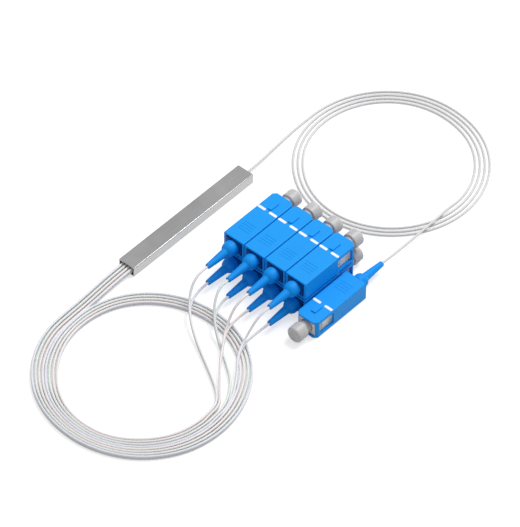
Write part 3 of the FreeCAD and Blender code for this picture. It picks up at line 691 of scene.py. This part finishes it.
@dataclass(frozen=True)
class EdgeBreak:
    """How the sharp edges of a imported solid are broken, as moulding or deburring leaves them.

    Angles are in degrees. Faces that meet at less than same_plane are joined first.
    """

    width: float
    least_face: float
    segments: int = 3
    sharp: float = 30.0
    same_plane: float = 0.5
    flat_width: float = 0.7 * MM
    smooth: float = 50.0

    def softened(self, node: str, name: str, finish: Palette) -> bpy.types.Object:
        """Copy a node's mesh, break its edges and let the copy stand for the node.

        Only an edge between two faces of some size is broken, so shallow grooves stay crisp. Broad
        faces are shaded flat and the narrow ones between them smooth.

        Args:
            node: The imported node.
            name: The new piece's name.
            finish: What the piece is dressed in.

        Returns:
            The softened piece.
        """
        shape = bmesh.new()
        shape.from_mesh(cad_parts[node].data)
        bmesh.ops.remove_doubles(shape, verts=shape.verts, dist=SAME_CORNER)
        bmesh.ops.dissolve_limit(
            shape,
            angle_limit=math.radians(self.same_plane),
            verts=shape.verts,
            edges=shape.edges,
            delimit=set(),
        )
        broken = [edge for edge in shape.edges if self._is_broken(edge)]
        round_edges(shape, broken, self.width, self.segments)
        shape.normal_update()
        for face in shape.faces:
            face.smooth = not self._is_flat(face)
        piece = piece_from(name, shape, finish, self.smooth)
        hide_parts(node)
        return piece

    def _is_flat(self, face: bmesh.types.BMFace) -> bool:
        """Tell a broad face, or one square to an axis as a moulding's own faces are, from the rest.

        Args:
            face: The face.

        Returns:
            Whether it is shaded flat.
        """
        if max(abs(part) for part in face.normal) > SQUARE_ON:
            return True
        return face.calc_area() / max(edge.calc_length() for edge in face.edges) > self.flat_width

    def _is_broken(self, edge: bmesh.types.BMEdge) -> bool:
        """Tell a sharp edge between two faces of some size from the rest.

        Args:
            edge: The edge.

        Returns:
            Whether it is broken.
        """
        if not edge.is_manifold or edge.calc_face_angle() < math.radians(self.sharp):
            return False
        return min(face.calc_area() for face in edge.link_faces) > self.least_face


# -------------------- plugs
@dataclass(frozen=True)
class PlugSite:
    """Where one plug lies and what its nodes and bodies are called."""

    plug: str
    place: Matrix

    @classmethod
    def of(cls, plug: str) -> PlugSite:
        """Find a plug's place from its packed ferrule and grip.

        Args:
            plug: The plug's name.

        Returns:
            Its site.
        """
        site = cls(plug, Matrix())
        low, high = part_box(site.node("ferrule"))
        grip_low, grip_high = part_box(site.node("grip"))
        middle = (low + high) / 2
        if plug == "input":
            turn = Matrix.Rotation(math.pi, 4, "Z")
            return cls(plug, Matrix.Translation((grip_high.x, middle.y, middle.z)) @ turn)
        return cls(plug, Matrix.Translation((grip_low.x, middle.y, middle.z)))

    def on_axis(self, along: float) -> Point:
        """Return the point of the plug's axis that far in front of its grip's back face."""
        return tuple(self.place @ Vector((along, 0.0, 0.0)))

    def node(self, piece: str) -> str:
        """Return the name of one of the plug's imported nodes."""
        side, _, digit = self.plug.partition("_")
        return f"{side}_{piece}_{digit}" if digit else f"{side}_{piece}"

    def body(self, piece: str) -> str:
        """Return the body that one of the plug's moving pieces is."""
        return f"{self.plug}_{piece}_body"


@dataclass(frozen=True)
class Grip:
    """The sliding grip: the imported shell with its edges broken, and white marks in its grooves."""

    length: float = 25.4 * MM
    height: float = 7.4 * MM
    edge: EdgeBreak = EdgeBreak(width=0.13 * MM, least_face=0.9 * MM * MM)
    mark_from_nose: float = 8.525 * MM
    mark_length: float = 3.4 * MM
    mark_width: float = 1.05 * MM
    mark_depth: float = 0.15 * MM
    mark_proud: float = 0.02 * MM
    mark_spacing: float = 1.7 * MM
    mark_corner: float = 0.4 * MM
    mark_segments: int = 4
    clearance: float = 0.01 * MM

    def build(self, site: PlugSite) -> list[bpy.types.Object]:
        """Build the grip and its marks and let them ride on the grip's body.

        Args:
            site: The plug's place.

        Returns:
            The shell and the marks.
        """
        shell = self.edge.softened(site.node("grip"), f"{site.plug}_grip_shell", Palette.GRIP)
        marks = self._marks(site)
        for piece in (shell, marks):
            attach(piece, site.body("grip"))
        return [shell, marks]

    def _marks(self, site: PlugSite) -> bpy.types.Object:
        """Build the four inked marks, two on each wide face, as one piece.

        Args:
            site: The plug's place.

        Returns:
            The marks.
        """
        shape = bmesh.new()
        along = self.length - self.mark_from_nose
        across = (self.mark_spacing + self.mark_length) / 2
        level = (self.height - self.mark_depth + self.mark_proud) / 2
        for side in (1, -1):
            for face in (1, -1):
                self._mark(shape, Vector((along, side * across, face * level)))
        shape.transform(site.place)
        return piece_from(f"{site.plug}_grip_marks", shape, Palette.MARK)

    def _mark(self, shape: bmesh.types.BMesh, centre: Vector) -> None:
        """Add one mark, a thin block with rounded ends.

        Args:
            shape: The bmesh that it is added to.
            centre: Its middle, in the plug's own frame.
        """
        gap = 2 * self.clearance
        size = (self.mark_width - gap, self.mark_length - gap, self.mark_depth + self.mark_proud - gap)
        place = Matrix.LocRotScale(centre, None, Vector(size))
        block = bmesh.ops.create_cube(shape, size=1.0, matrix=place)
        edges = {edge for vert in block["verts"] for edge in vert.link_edges}
        upright = [e for e in edges if abs((e.verts[0].co - e.verts[1].co).z) > self.mark_depth / 2]
        round_edges(shape, upright, self.mark_corner, self.mark_segments)


@dataclass(frozen=True)
class Boot:
    """The strain relief boot: a round bulb over the crimp and a slender tapered tail."""

    seat: float = -0.3 * MM
    face_radius: float = 2.5 * MM
    bulb_radius: float = 2.7 * MM
    bulb_start: float = -0.9 * MM
    bulb_end: float = -2.2 * MM
    swell: tuple[float, float] = (0.5 * MM, 0.2 * MM)
    bulb_fall: float = 2.75 * MM
    fall_angle: float = 142.0
    tail_step: float = 0.25 * MM
    tail_radius: float = 1.56 * MM
    tip_along: float = -13.2 * MM
    tip_radius: float = 1.0 * MM
    lip: float = 0.12 * MM
    mouth_lip: float = 0.05 * MM
    mouth_depth: float = 0.3 * MM
    mouth_flare: float = 0.08 * MM
    bore_radius: float = 0.6 * MM
    ring_end: float = -3.4 * MM
    ring_radius: float = 2.33 * MM
    post_end: float = -3.75 * MM
    post_radius: float = 1.86 * MM
    steps: int = 48

    def build(self, site: PlugSite) -> bpy.types.Object:
        """Turn the boot and let it ride with the fibres.

        Args:
            site: The plug's place.

        Returns:
            The boot.
        """
        shape = turned(self._profile(), self.steps)
        shape.transform(site.place)
        piece = piece_from(f"{site.plug}_strain_relief", shape, Palette.BOOT)
        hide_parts(site.node("boot"))
        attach(piece, "splitter")
        return piece

    def _profile(self) -> Profile:
        """Draw the closed outline: outside from the seat to the tip, then the bore back.

        Returns:
            The outline, which ends on its first point.
        """
        length, rise = self.swell
        swell = arc((self.bulb_start, self.bulb_radius - rise), (-length, rise), 0.0, 90.0, 4)
        fall = arc((self.bulb_end, 0.0), (self.bulb_fall, self.bulb_radius), 90.0, self.fall_angle, 12)
        rim_centre = (self.tip_along + self.lip, self.tip_radius - self.lip)
        return [
            (self.seat, self.face_radius),
            *swell,
            *fall,
            (fall[-1][0] - self.tail_step, self.tail_radius),
            *arc(rim_centre, (self.lip, self.lip), 90.0, 180.0, 4),
            (self.tip_along + self.mouth_lip, self.bore_radius + self.mouth_flare),
            (self.tip_along + self.mouth_depth, self.bore_radius),
            (self.post_end, self.bore_radius),
            (self.post_end, self.post_radius),
            (self.ring_end, self.post_radius),
            (self.ring_end, self.ring_radius),
            (self.seat, self.ring_radius),
            (self.seat, self.face_radius),
        ]


@dataclass(frozen=True)
class DustCap:
    """The dust cap: a thin sleeve over the ferrule, a short neck and a round head to pull on."""

    back: float = 19.2 * MM
    sleeve_radius: float = 2.25 * MM
    sleeve_edge: tuple[float, float] = (0.2 * MM, 0.15 * MM)
    shoulder: float = 27.4 * MM
    fillet: float = 0.35 * MM
    fillet_middle: tuple[float, float] = (0.08 * MM, 0.1 * MM)
    head_radius: float = 3.05 * MM
    head_corner: float = 0.25 * MM
    tip: float = 31.8 * MM
    tip_round: float = 1.1 * MM
    round_end: float = 8.0
    bore_radius: float = 1.3 * MM
    bore_end: float = 26.6 * MM
    bore_point: float = 0.3 * MM
    dish: float = 0.18 * MM
    dish_rim: tuple[float, float] = (0.02 * MM, 0.1 * MM)
    dish_slope: float = 0.5 * MM
    steps: int = 56

    def build(self, site: PlugSite) -> bpy.types.Object:
        """Turn the cap and let it ride on the cap's body.

        Args:
            site: The plug's place.

        Returns:
            The cap.
        """
        shape = turned(self._profile(), self.steps)
        shape.transform(site.place)
        piece = piece_from(f"{site.plug}_dust_cap", shape, Palette.CAP)
        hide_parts(site.node("cap"))
        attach(piece, site.body("cap"))
        return piece

    def _profile(self) -> Profile:
        """Draw the outline from the bore's blind end, over the outside, to the head's centre.

        Returns:
            The outline, with both ends on the axis.
        """
        corner, head, face = self.head_corner, self.head_radius, self.head_radius - self.tip_round
        lead, rise = self.sleeve_edge
        return [
            (self.bore_end, 0.0),
            (self.bore_end - self.bore_point, self.bore_radius),
            (self.back + lead, self.bore_radius),
            (self.back, self.bore_radius + rise),
            (self.back, self.sleeve_radius - rise),
            (self.back + lead, self.sleeve_radius),
            (self.shoulder - self.fillet, self.sleeve_radius),
            (self.shoulder - self.fillet_middle[0], self.sleeve_radius + self.fillet_middle[1]),
            (self.shoulder, self.sleeve_radius + self.fillet),
            *arc((self.shoulder + corner, head - corner), (corner, corner), 180.0, 90.0, 4),
            *arc((self.tip - self.tip_round, face), (self.tip_round,) * 2, 90.0, self.round_end, 8),
            (self.tip - self.dish_rim[0], face - self.dish_rim[1]),
            (self.tip - self.dish, face - self.dish_slope),
            (self.tip - self.dish, 0.0),
        ]


# -------------------- routes
def in_mm(*rows: tuple[float, float]) -> Table:
    """Return a table whose second column was written in millimetres."""
    return tuple((place, length * MM) for place, length in rows)


def points_mm(*points: Point) -> Route:
    """Return points that were written in millimetres."""
    return tuple(tuple(part * MM for part in point) for point in points)


def between(table: Table, place: float) -> float:
    """Read a table at a place, straight between its entries.

    Args:
        table: Places in rising order, each with its value.
        place: The wanted place, within the table.

    Returns:
        The value there.
    """
    for (low, near), (high, far) in zip(table, table[1:]):
        if low <= place <= high:
            return near + (far - near) * (place - low) / (high - low)
    raise ValueError(f"the table has no value at {place}")


# How far the output leads drift inwards, at a few places along X, on their way to the coil.
LEAD_DRIFT = ((-50.0 * MM, 0.3 * MM), (-57.5 * MM, 0.5 * MM))
# The outermost output strand's radius by its angle. The strands make one pass side by side, shift
# inwards and make half of a second pass inside the first.
OUTER_STRAND = in_mm(
    (90.0, 37.6), (110.0, 36.55), (132.0, 35.65), (155.0, 35.0), (177.0, 34.75), (200.0, 35.3),
    (222.0, 36.1), (250.0, 36.8), (274.0, 36.75), (295.0, 36.85), (318.0, 37.55), (340.0, 37.9),
    (380.0, 37.75), (397.0, 37.3), (413.0, 36.5), (430.0, 34.9), (440.0, 33.7), (450.0, 32.75),
    (470.0, 31.75), (492.0, 31.1), (515.0, 30.9), (537.0, 30.9), (560.0, 31.5), (582.0, 31.8),
    (610.0, 32.2), (634.5, 31.9),
)
# How far apart the strands lie, by the same angle.
STRAND_PITCH = in_mm(
    (90.0, 1.33), (132.0, 1.20), (155.0, 1.05), (177.0, 0.96), (200.0, 0.98), (222.0, 1.10),
    (250.0, 1.22), (312.0, 1.30), (397.0, 1.33), (430.0, 1.25), (450.0, 1.05), (470.0, 1.22),
    (492.0, 1.28), (515.0, 1.10), (537.0, 0.95), (560.0, 0.95), (582.0, 1.12), (634.5, 1.17),
)
# How far each turn of the input coil bows out of a circle, by degrees wound since the top.
INPUT_BOW = in_mm(
    (0.0, 0.0), (45.0, 0.2), (73.0, 0.15), (95.0, -0.15), (120.0, 0.15), (180.0, 0.6),
    (228.0, 0.8), (270.0, 0.6), (316.0, -0.3), (340.0, 0.0), (360.0, 0.0),
)
# The tails from the output coil to the plugs, by column. The two fibres of a column share a plan,
# and the lower one lies on the floor first.
LOWER_TAILS = (
    points_mm(
        (-60.27, -64.51, 0.45), (-55.2, -64.1, 0.45), (-50.6, -60.1, 0.45), (-46.6, -53.9, 0.45),
        (-42.9, -47.4, 0.45), (-39.3, -41.0, 0.9), (-35.6, -35.2, 2.2), (-31.7, -30.45, 3.2),
        (-27.6, -27.6, 3.3), (-22.8, -26.4, 3.65),
    ),
    points_mm(
        (-60.08, -67.0, 0.45), (-54.1, -66.53, 0.45), (-48.2, -63.6, 0.45), (-43.6, -59.9, 0.45),
        (-40.2, -55.4, 0.45), (-37.2, -50.9, 0.45), (-34.2, -46.2, 0.9), (-30.8, -41.15, 3.2),
        (-27.0, -37.6, 3.3), (-22.7, -35.95, 3.6),
    ),
    points_mm(
        (-60.19, -65.51, 0.45), (-54.7, -65.08, 0.45), (-50.0, -61.0, 0.5), (-46.2, -57.4, 1.3),
        (-41.2, -53.1, 3.1), (-36.4, -49.9, 3.4), (-31.6, -46.45, 3.4), (-27.1, -44.8, 3.5),
        (-22.6, -44.55, 3.65),
    ),
    points_mm(
        (-60.0, -68.0, 0.45), (-53.6, -67.5, 0.45), (-47.6, -65.0, 0.45), (-42.0, -61.2, 1.2),
        (-37.4, -57.3, 3.2), (-33.0, -54.75, 3.3), (-28.5, -53.7, 3.4), (-23.1, -53.75, 3.6),
    ),
)
# The upper fibre keeps this many of the lower one's points, one layer up, then climbs.
SHARED_POINTS = (7, 7, 6, 5)
UPPER_CLIMBS = (
    points_mm(
        (-31.9, -30.55, 4.4), (-29.2, -28.2, 5.9), (-26.8, -26.8, 8.3), (-24.1, -26.25, 10.6),
        (-21.1, -26.1, 11.6),
    ),
    points_mm(
        (-31.0, -41.35, 4.5), (-28.6, -38.9, 5.9), (-26.3, -37.0, 8.3), (-23.7, -35.95, 10.6),
        (-20.9, -35.5, 11.6),
    ),
    points_mm(
        (-31.8, -46.55, 4.4), (-28.9, -45.2, 5.8), (-26.4, -44.6, 8.2), (-23.8, -44.55, 10.5),
        (-21.0, -44.7, 11.6),
    ),
    points_mm(
        (-33.0, -54.75, 4.3), (-29.6, -53.8, 5.4), (-26.7, -53.7, 7.9), (-24.0, -53.85, 10.3),
        (-21.1, -54.0, 11.6),
    ),
)
# The input fibre's way from the module to its coil, and from the coil to its plug.
INPUT_LEAD = points_mm(
    (25.0, 0.0, 2.0), (35.0, 0.0, 2.0), (46.0, 1.5, 1.0), (57.3, 2.7, 0.45), (63.3, 2.8, 0.45),
)
INPUT_TAIL = points_mm(
    (66.0, -61.8, 0.7), (63.0, -62.2, 1.5), (59.0, -62.7, 1.9), (51.5, -62.9, 2.0),
    (45.2, -63.0, 2.1), (39.0, -63.3, 2.4), (32.9, -63.7, 3.2),
)


# -------------------- fibres
@dataclass(frozen=True)
class Spiral:
    """A flat coil that a fibre winds round: its angles in degrees and its radius at each."""

    centre: tuple[float, float]
    start: float
    end: float
    radius_at: Callable[[float], float]
    steps_in_turn: int = 24

    def points(self, height: float) -> list[Point]:
        """Work out the control points of the fibre's curve round the coil.

        A quadratic curve passes inside its control points, so they stand a little further out.

        Args:
            height: The fibre's height above the floor.

        Returns:
            The points, half a step inside each end of the coil.
        """
        count = max(1, round(abs(self.end - self.start) * self.steps_in_turn / FULL_TURN))
        step = (self.end - self.start) / count
        reach = 1.0 / math.cos(math.radians(step / 2))
        made = []
        for place in range(count):
            angle = self.start + step * (place + 0.5)
            radius = self.radius_at(angle) * reach
            way = math.radians(angle)
            across, along = radius * math.cos(way), radius * math.sin(way)
            made.append((self.centre[0] + across, self.centre[1] + along, height))
        return made


@dataclass(frozen=True)
class Fibre:
    """One jacketed fibre, from the module to inside its plug."""

    plug: str
    finish: Palette
    route: Route
    length: float
    stands_for: Sequence[str]
    diameter: float = 0.9 * MM
    roundness: int = 3
    smoothness: int = 8
    order: int = 3

    def build(self, pieces: Sequence[bpy.types.Object]) -> bpy.types.Object:
        """Args:
            pieces: The plug's pieces. Not used.

        Returns:
            The fibre's curve.
        """
        curve = bpy.data.curves.new(f"{self.plug}_jacketed_fibre", "CURVE")
        curve.dimensions = "3D"
        curve.bevel_depth = self.diameter / 2
        curve.bevel_resolution = self.roundness
        curve.resolution_u = self.smoothness
        curve.use_fill_caps = True
        spline = curve.splines.new("NURBS")
        spline.points.add(len(self.route) - 1)
        for control, point in zip(spline.points, self.route):
            control.co = (*point, 1.0)
        spline.order_u = self.order
        spline.use_endpoint_u = True
        curve.materials.append(self.finish.value.material())
        piece = bpy.data.objects.new(curve.name, curve)
        bpy.context.scene.collection.objects.link(piece)
        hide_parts(*self.stands_for)
        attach(piece, "splitter")
        "input_jacket" if self.plug == "input" else "output_jacket"
        return piece


@dataclass(frozen=True)
class Fanout:
    """All nine fibres: their leads, their coils and the tails to their plugs."""

    output_length: float = 0.42
    output_jackets: tuple[Palette, ...] = (
        Palette.JACKET_LILAC,
        Palette.JACKET_MINT,
        Palette.JACKET_PEACH,
        Palette.JACKET_GREY,
        Palette.JACKET_WHITE,
        Palette.JACKET_GREEN,
        Palette.JACKET_PINK,
        Palette.JACKET_LILAC,
    )
    lead_ends: tuple[float, float] = (-25.0 * MM, -36.0 * MM)
    lead_across: tuple[float, ...] = (1.995 * MM, 0.665 * MM, -0.665 * MM, -1.995 * MM)
    lead_heights: tuple[float, ...] = (1.45 * MM, 2.55 * MM)
    floor_heights: tuple[float, ...] = (0.45 * MM, 1.40 * MM)
    layer: float = 0.95 * MM
    column_of_lead: tuple[int, ...] = (3, 1, 2, 0)
    output_centre: tuple[float, float] = (-62.5 * MM, -36.2 * MM)
    input_length: float = 0.80
    input_centre: tuple[float, float] = (68.3 * MM, -32.3 * MM)
    input_start_angle: float = 90.0
    input_turns: float = 3.5
    input_outer_radius: float = 35.0 * MM
    input_pitch: float = 1.7 * MM
    boot_tip: float = -13.2 * MM
    jacket_end: float = -2.0 * MM

    def build(self, plugs: Mapping[str, Sequence[bpy.types.Object]]) -> None:
        """Args:
            plugs: The pieces of each plug, by the plug's name.
        """
        for lead in range(COLUMNS):
            for row in range(ROWS):
                number, route = self.output_route(lead, row)
                plug, finish = f"output_{number}", self.output_jackets[number - 1]
                nodes = (f"output_fibre_{number}", "output_coil")
                Fibre(plug, finish, route, self.output_length, nodes).build(plugs[plug])
        nodes = ("input_fibre", "input_coil")
        fibre = Fibre("input", Palette.JACKET_INPUT_SHADED, self.input_route(), self.input_length, nodes)
        fibre.build(plugs["input"])

    def output_route(self, lead: int, row: int) -> tuple[int, list[Point]]:
        """Work out the control points of one output fibre.

        Args:
            lead: Its column in the module, the outermost first.
            row: Its layer: 0 lies on the floor, 1 on top of it.

        Returns:
            The number of its plug, and its route.
        """
        column = self.column_of_lead[lead]
        number = row * COLUMNS + column + 1
        across = self.lead_across[lead]
        leads = [(x, across, self.lead_heights[row]) for x in self.lead_ends]
        leads += [(x, across - drift, self.floor_heights[row]) for x, drift in LEAD_DRIFT]
        coil = Spiral(
            self.output_centre,
            OUTER_STRAND[0][0],
            OUTER_STRAND[-1][0],
            lambda angle: between(OUTER_STRAND, angle) - lead * between(STRAND_PITCH, angle),
        )
        tail = list(LOWER_TAILS[column])
        if row == 1:
            shared = [(x, y, z + self.layer) for x, y, z in tail[: SHARED_POINTS[column]]]
            tail = shared + list(UPPER_CLIMBS[column])
        tail += self._plug_end(f"output_{number}")
        return number, leads + coil.points(self.floor_heights[row]) + tail

    def input_route(self) -> list[Point]:
        """Work out the control points of the input fibre.

        Returns:
            Its route.
        """
        start = self.input_start_angle
        coil = Spiral(self.input_centre, start, start - FULL_TURN * self.input_turns, self._input_radius)
        return [*INPUT_LEAD, *coil.points(self.floor_heights[0]), *INPUT_TAIL, *self._plug_end("input")]

    def _input_radius(self, angle: float) -> float:
        """Give the input coil's radius: an even spiral, out of round by the same bow each turn.

        Args:
            angle: The angle in degrees, which falls as the fibre winds.

        Returns:
            The radius.
        """
        wound = (self.input_start_angle - angle) / FULL_TURN
        bow = between(INPUT_BOW, wound % 1.0 * FULL_TURN)
        return self.input_outer_radius - self.input_pitch * wound + bow

    def _plug_end(self, plug: str) -> list[Point]:
        """Return a route's last two points: the tip of the boot, and inside the plug."""
        site = PlugSite.of(plug)
        return [site.on_axis(self.boot_tip), site.on_axis(self.jacket_end)]


# -------------------- assemblies
@dataclass(frozen=True)
class Plug:
    """One push-pull plug: its ferrule, grip, boot and dust cap."""

    name: str
    grip: Grip = Grip()
    boot: Boot = Boot()
    cap: DustCap = DustCap()

    def build(self) -> list[bpy.types.Object]:
        """Dress the plug's ferrule and build the rest of it.

        Returns:
            Its pieces, which its fibre ends in.
        """
        site = PlugSite.of(self.name)
        ferrule = site.node("ferrule")
        dress_node(ferrule, Palette.FERRULE_IN if self.name == "input" else Palette.FERRULE_OUT)
        made = [*self.grip.build(site), self.boot.build(site), self.cap.build(site)]
        return [*made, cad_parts[ferrule]]


@dataclass(frozen=True)
class PlugInsides:
    """The inner pieces of all nine plugs, which are packed in groups, one of each kind."""

    frame_edge: EdgeBreak = EdgeBreak(width=0.10 * MM, least_face=0.6 * MM * MM)
    rear_edge: EdgeBreak = EdgeBreak(width=0.15 * MM, least_face=0.8 * MM * MM)

    def build(self) -> None:
        """Soften the frames and the rear bodies, and dress the springs and the crimp rings."""
        groups = (
            ("plug_frames", Palette.PLUG_FRAME, self.frame_edge, "frame_plastic"),
            ("rear_bodies", Palette.REAR_BODY, self.rear_edge, "rear_plastic"),
        )
        for node, finish, edge, slot in groups:
            piece = edge.softened(node, f"softened_{node}", finish)
            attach(piece, "splitter")
        dress_node("springs", Palette.SPRING)
        dress_node("crimp_rings", Palette.CRIMP)


@dataclass(frozen=True)
class Module:
    """The steel module and what it holds: the chip, its blocks, bare fibres and potted ends."""

    rim: EdgeBreak = EdgeBreak(width=0.06 * MM, least_face=0.5 * MM * MM)

    def build(self) -> None:
        """Break the tube's rims and dress every piece of the module."""
        tube = self.rim.softened("module_housing", "module_tube", Palette.STEEL)
        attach(tube, "splitter")
        for node, finish in (
            ("waveguide_chip", Palette.CHIP),
            ("chip_cover", Palette.GLASS),
            ("input_fibre_block", Palette.GLASS),
            ("output_fibre_block", Palette.GLASS),
            ("bare_fibres", Palette.GLASS),
            ("input_end_seal", Palette.POTTING),
            ("output_end_seal", Palette.POTTING),
        ):
            dress_node(node, finish)


# -------------------- studio
@dataclass(frozen=True)
class Studio:
    """A pale table, a soft light overhead, a white background and the camera."""

    aim: Point = (0.0031, -0.0309, 0.0)
    azimuth: float = -47.94
    elevation: float = 46.56
    distance: float = 1.74
    lens: float = 350.7
    far_clip: float = 20.0
    ambient: float = 0.42
    ceiling: float = 0.5
    table_size: float = 6.0
    table_drop: float = 0.02 * MM
    table_grey: Colour = (0.62, 0.62, 0.62)
    table_glow: float = 0.6
    key_share: float = 0.72
    key_from: Point = (0.55, -0.08, 1.05)
    key_size: float = 0.6

    def build(self) -> None:
        """Set up the camera, the table, the lights and the background."""
        bpy.context.scene.view_settings.view_transform = "Standard"
        self._camera()
        self._table()
        self._world()
        self._key_light()

    def _camera(self) -> None:
        """Place the camera on a long lens."""
        data = bpy.data.cameras.new("camera")
        data.lens = self.lens
        data.clip_end = self.far_clip
        camera = bpy.data.objects.new("camera", data)
        turn, rise = math.radians(self.azimuth), math.radians(self.elevation)
        level = math.cos(rise)
        back = Vector((math.sin(turn) * level, -math.cos(turn) * level, math.sin(rise)))
        camera.location = Vector(self.aim) + back * self.distance
        camera.rotation_euler = (-back).to_track_quat("-Z", "Y").to_euler()
        bpy.context.scene.collection.objects.link(camera)
        bpy.context.scene.camera = camera

    def _table(self) -> None:
        """Lay the table top just under the part."""
        shape = bmesh.new()
        under = Matrix.Translation((0.0, 0.0, -self.table_drop))
        bmesh.ops.create_grid(shape, x_segments=1, y_segments=1, size=self.table_size / 2, matrix=under)
        mesh = bpy.data.meshes.new("table_top")
        shape.to_mesh(mesh)
        shape.free()
        mesh.materials.append(self._table_material())
        table = bpy.data.objects.new("table_top", mesh)
        bpy.context.scene.collection.objects.link(table)
        table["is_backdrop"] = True

    @staticmethod
    def _rays(graph: ShaderGraph) -> tuple[Wire, ...]:
        """Return whether a ray comes from the camera, from gloss or through glass."""
        names = ("Is Camera Ray", "Is Glossy Ray", "Is Transmission Ray")
        return tuple(graph.add("ShaderNodeLightPath", output=name) for name in names)

    def _table_material(self) -> bpy.types.Material:
        """Make a matt white that looks white to the camera and keeps the part's shadow.

        Returns:
            The material.
        """
        material = bpy.data.materials.new("table_white")
        graph = ShaderGraph(material)
        camera, gloss, glass = self._rays(graph)
        glow = camera.or_more(gloss).or_more(glass)
        graph.dress(
            Base_Color=self.table_grey,
            Roughness=1.0,
            Specular_IOR_Level=0.0,
            Emission_Color=graph.mix(glow, (0.0, 0.0, 0.0), (1.0, 1.0, 1.0)),
            Emission_Strength=self.table_glow,
        )
        return material

    def _world(self) -> None:
        """Light the part evenly, show white behind it, and a softer ceiling in its gloss."""
        world = bpy.data.worlds.new("studio")
        graph = ShaderGraph(world)
        camera, gloss, glass = self._rays(graph)
        level = camera.or_more(glass) * (1.0 - self.ambient) + self.ambient
        graph.dress(Color=(1.0, 1.0, 1.0), Strength=level.or_more(gloss * self.ceiling))
        bpy.context.scene.world = world

    def _key_light(self) -> None:
        """Hang a broad soft light over the part."""
        data = bpy.data.lights.new("key", "AREA")
        data.size = self.key_size
        reach = Vector(self.key_from)
        data.energy = self.key_share * math.pi**2 * reach.length_squared
        light = bpy.data.objects.new("key", data)
        light.location = Vector(self.aim) + reach
        light.rotation_euler = (Vector(self.aim) - light.location).to_track_quat("-Z", "Y").to_euler()
        bpy.context.scene.collection.objects.link(light)


def main() -> None:
    """Build the studio, the plugs, the fibres and the module in order, and report each piece."""
    logging.basicConfig(level=logging.INFO, format="%(name)s: %(message)s")
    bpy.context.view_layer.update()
    Studio().build()
    outputs = [f"output_{number}" for number in range(1, COLUMNS * ROWS + 1)]
    plugs = {name: Plug(name).build() for name in [*outputs, "input"]}
    Fanout().build(plugs)
    PlugInsides().build()
    Module().build()
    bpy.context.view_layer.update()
    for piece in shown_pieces():
        LOG.info("%s is in place", piece.name)


if __name__ == "__main__":
    main()
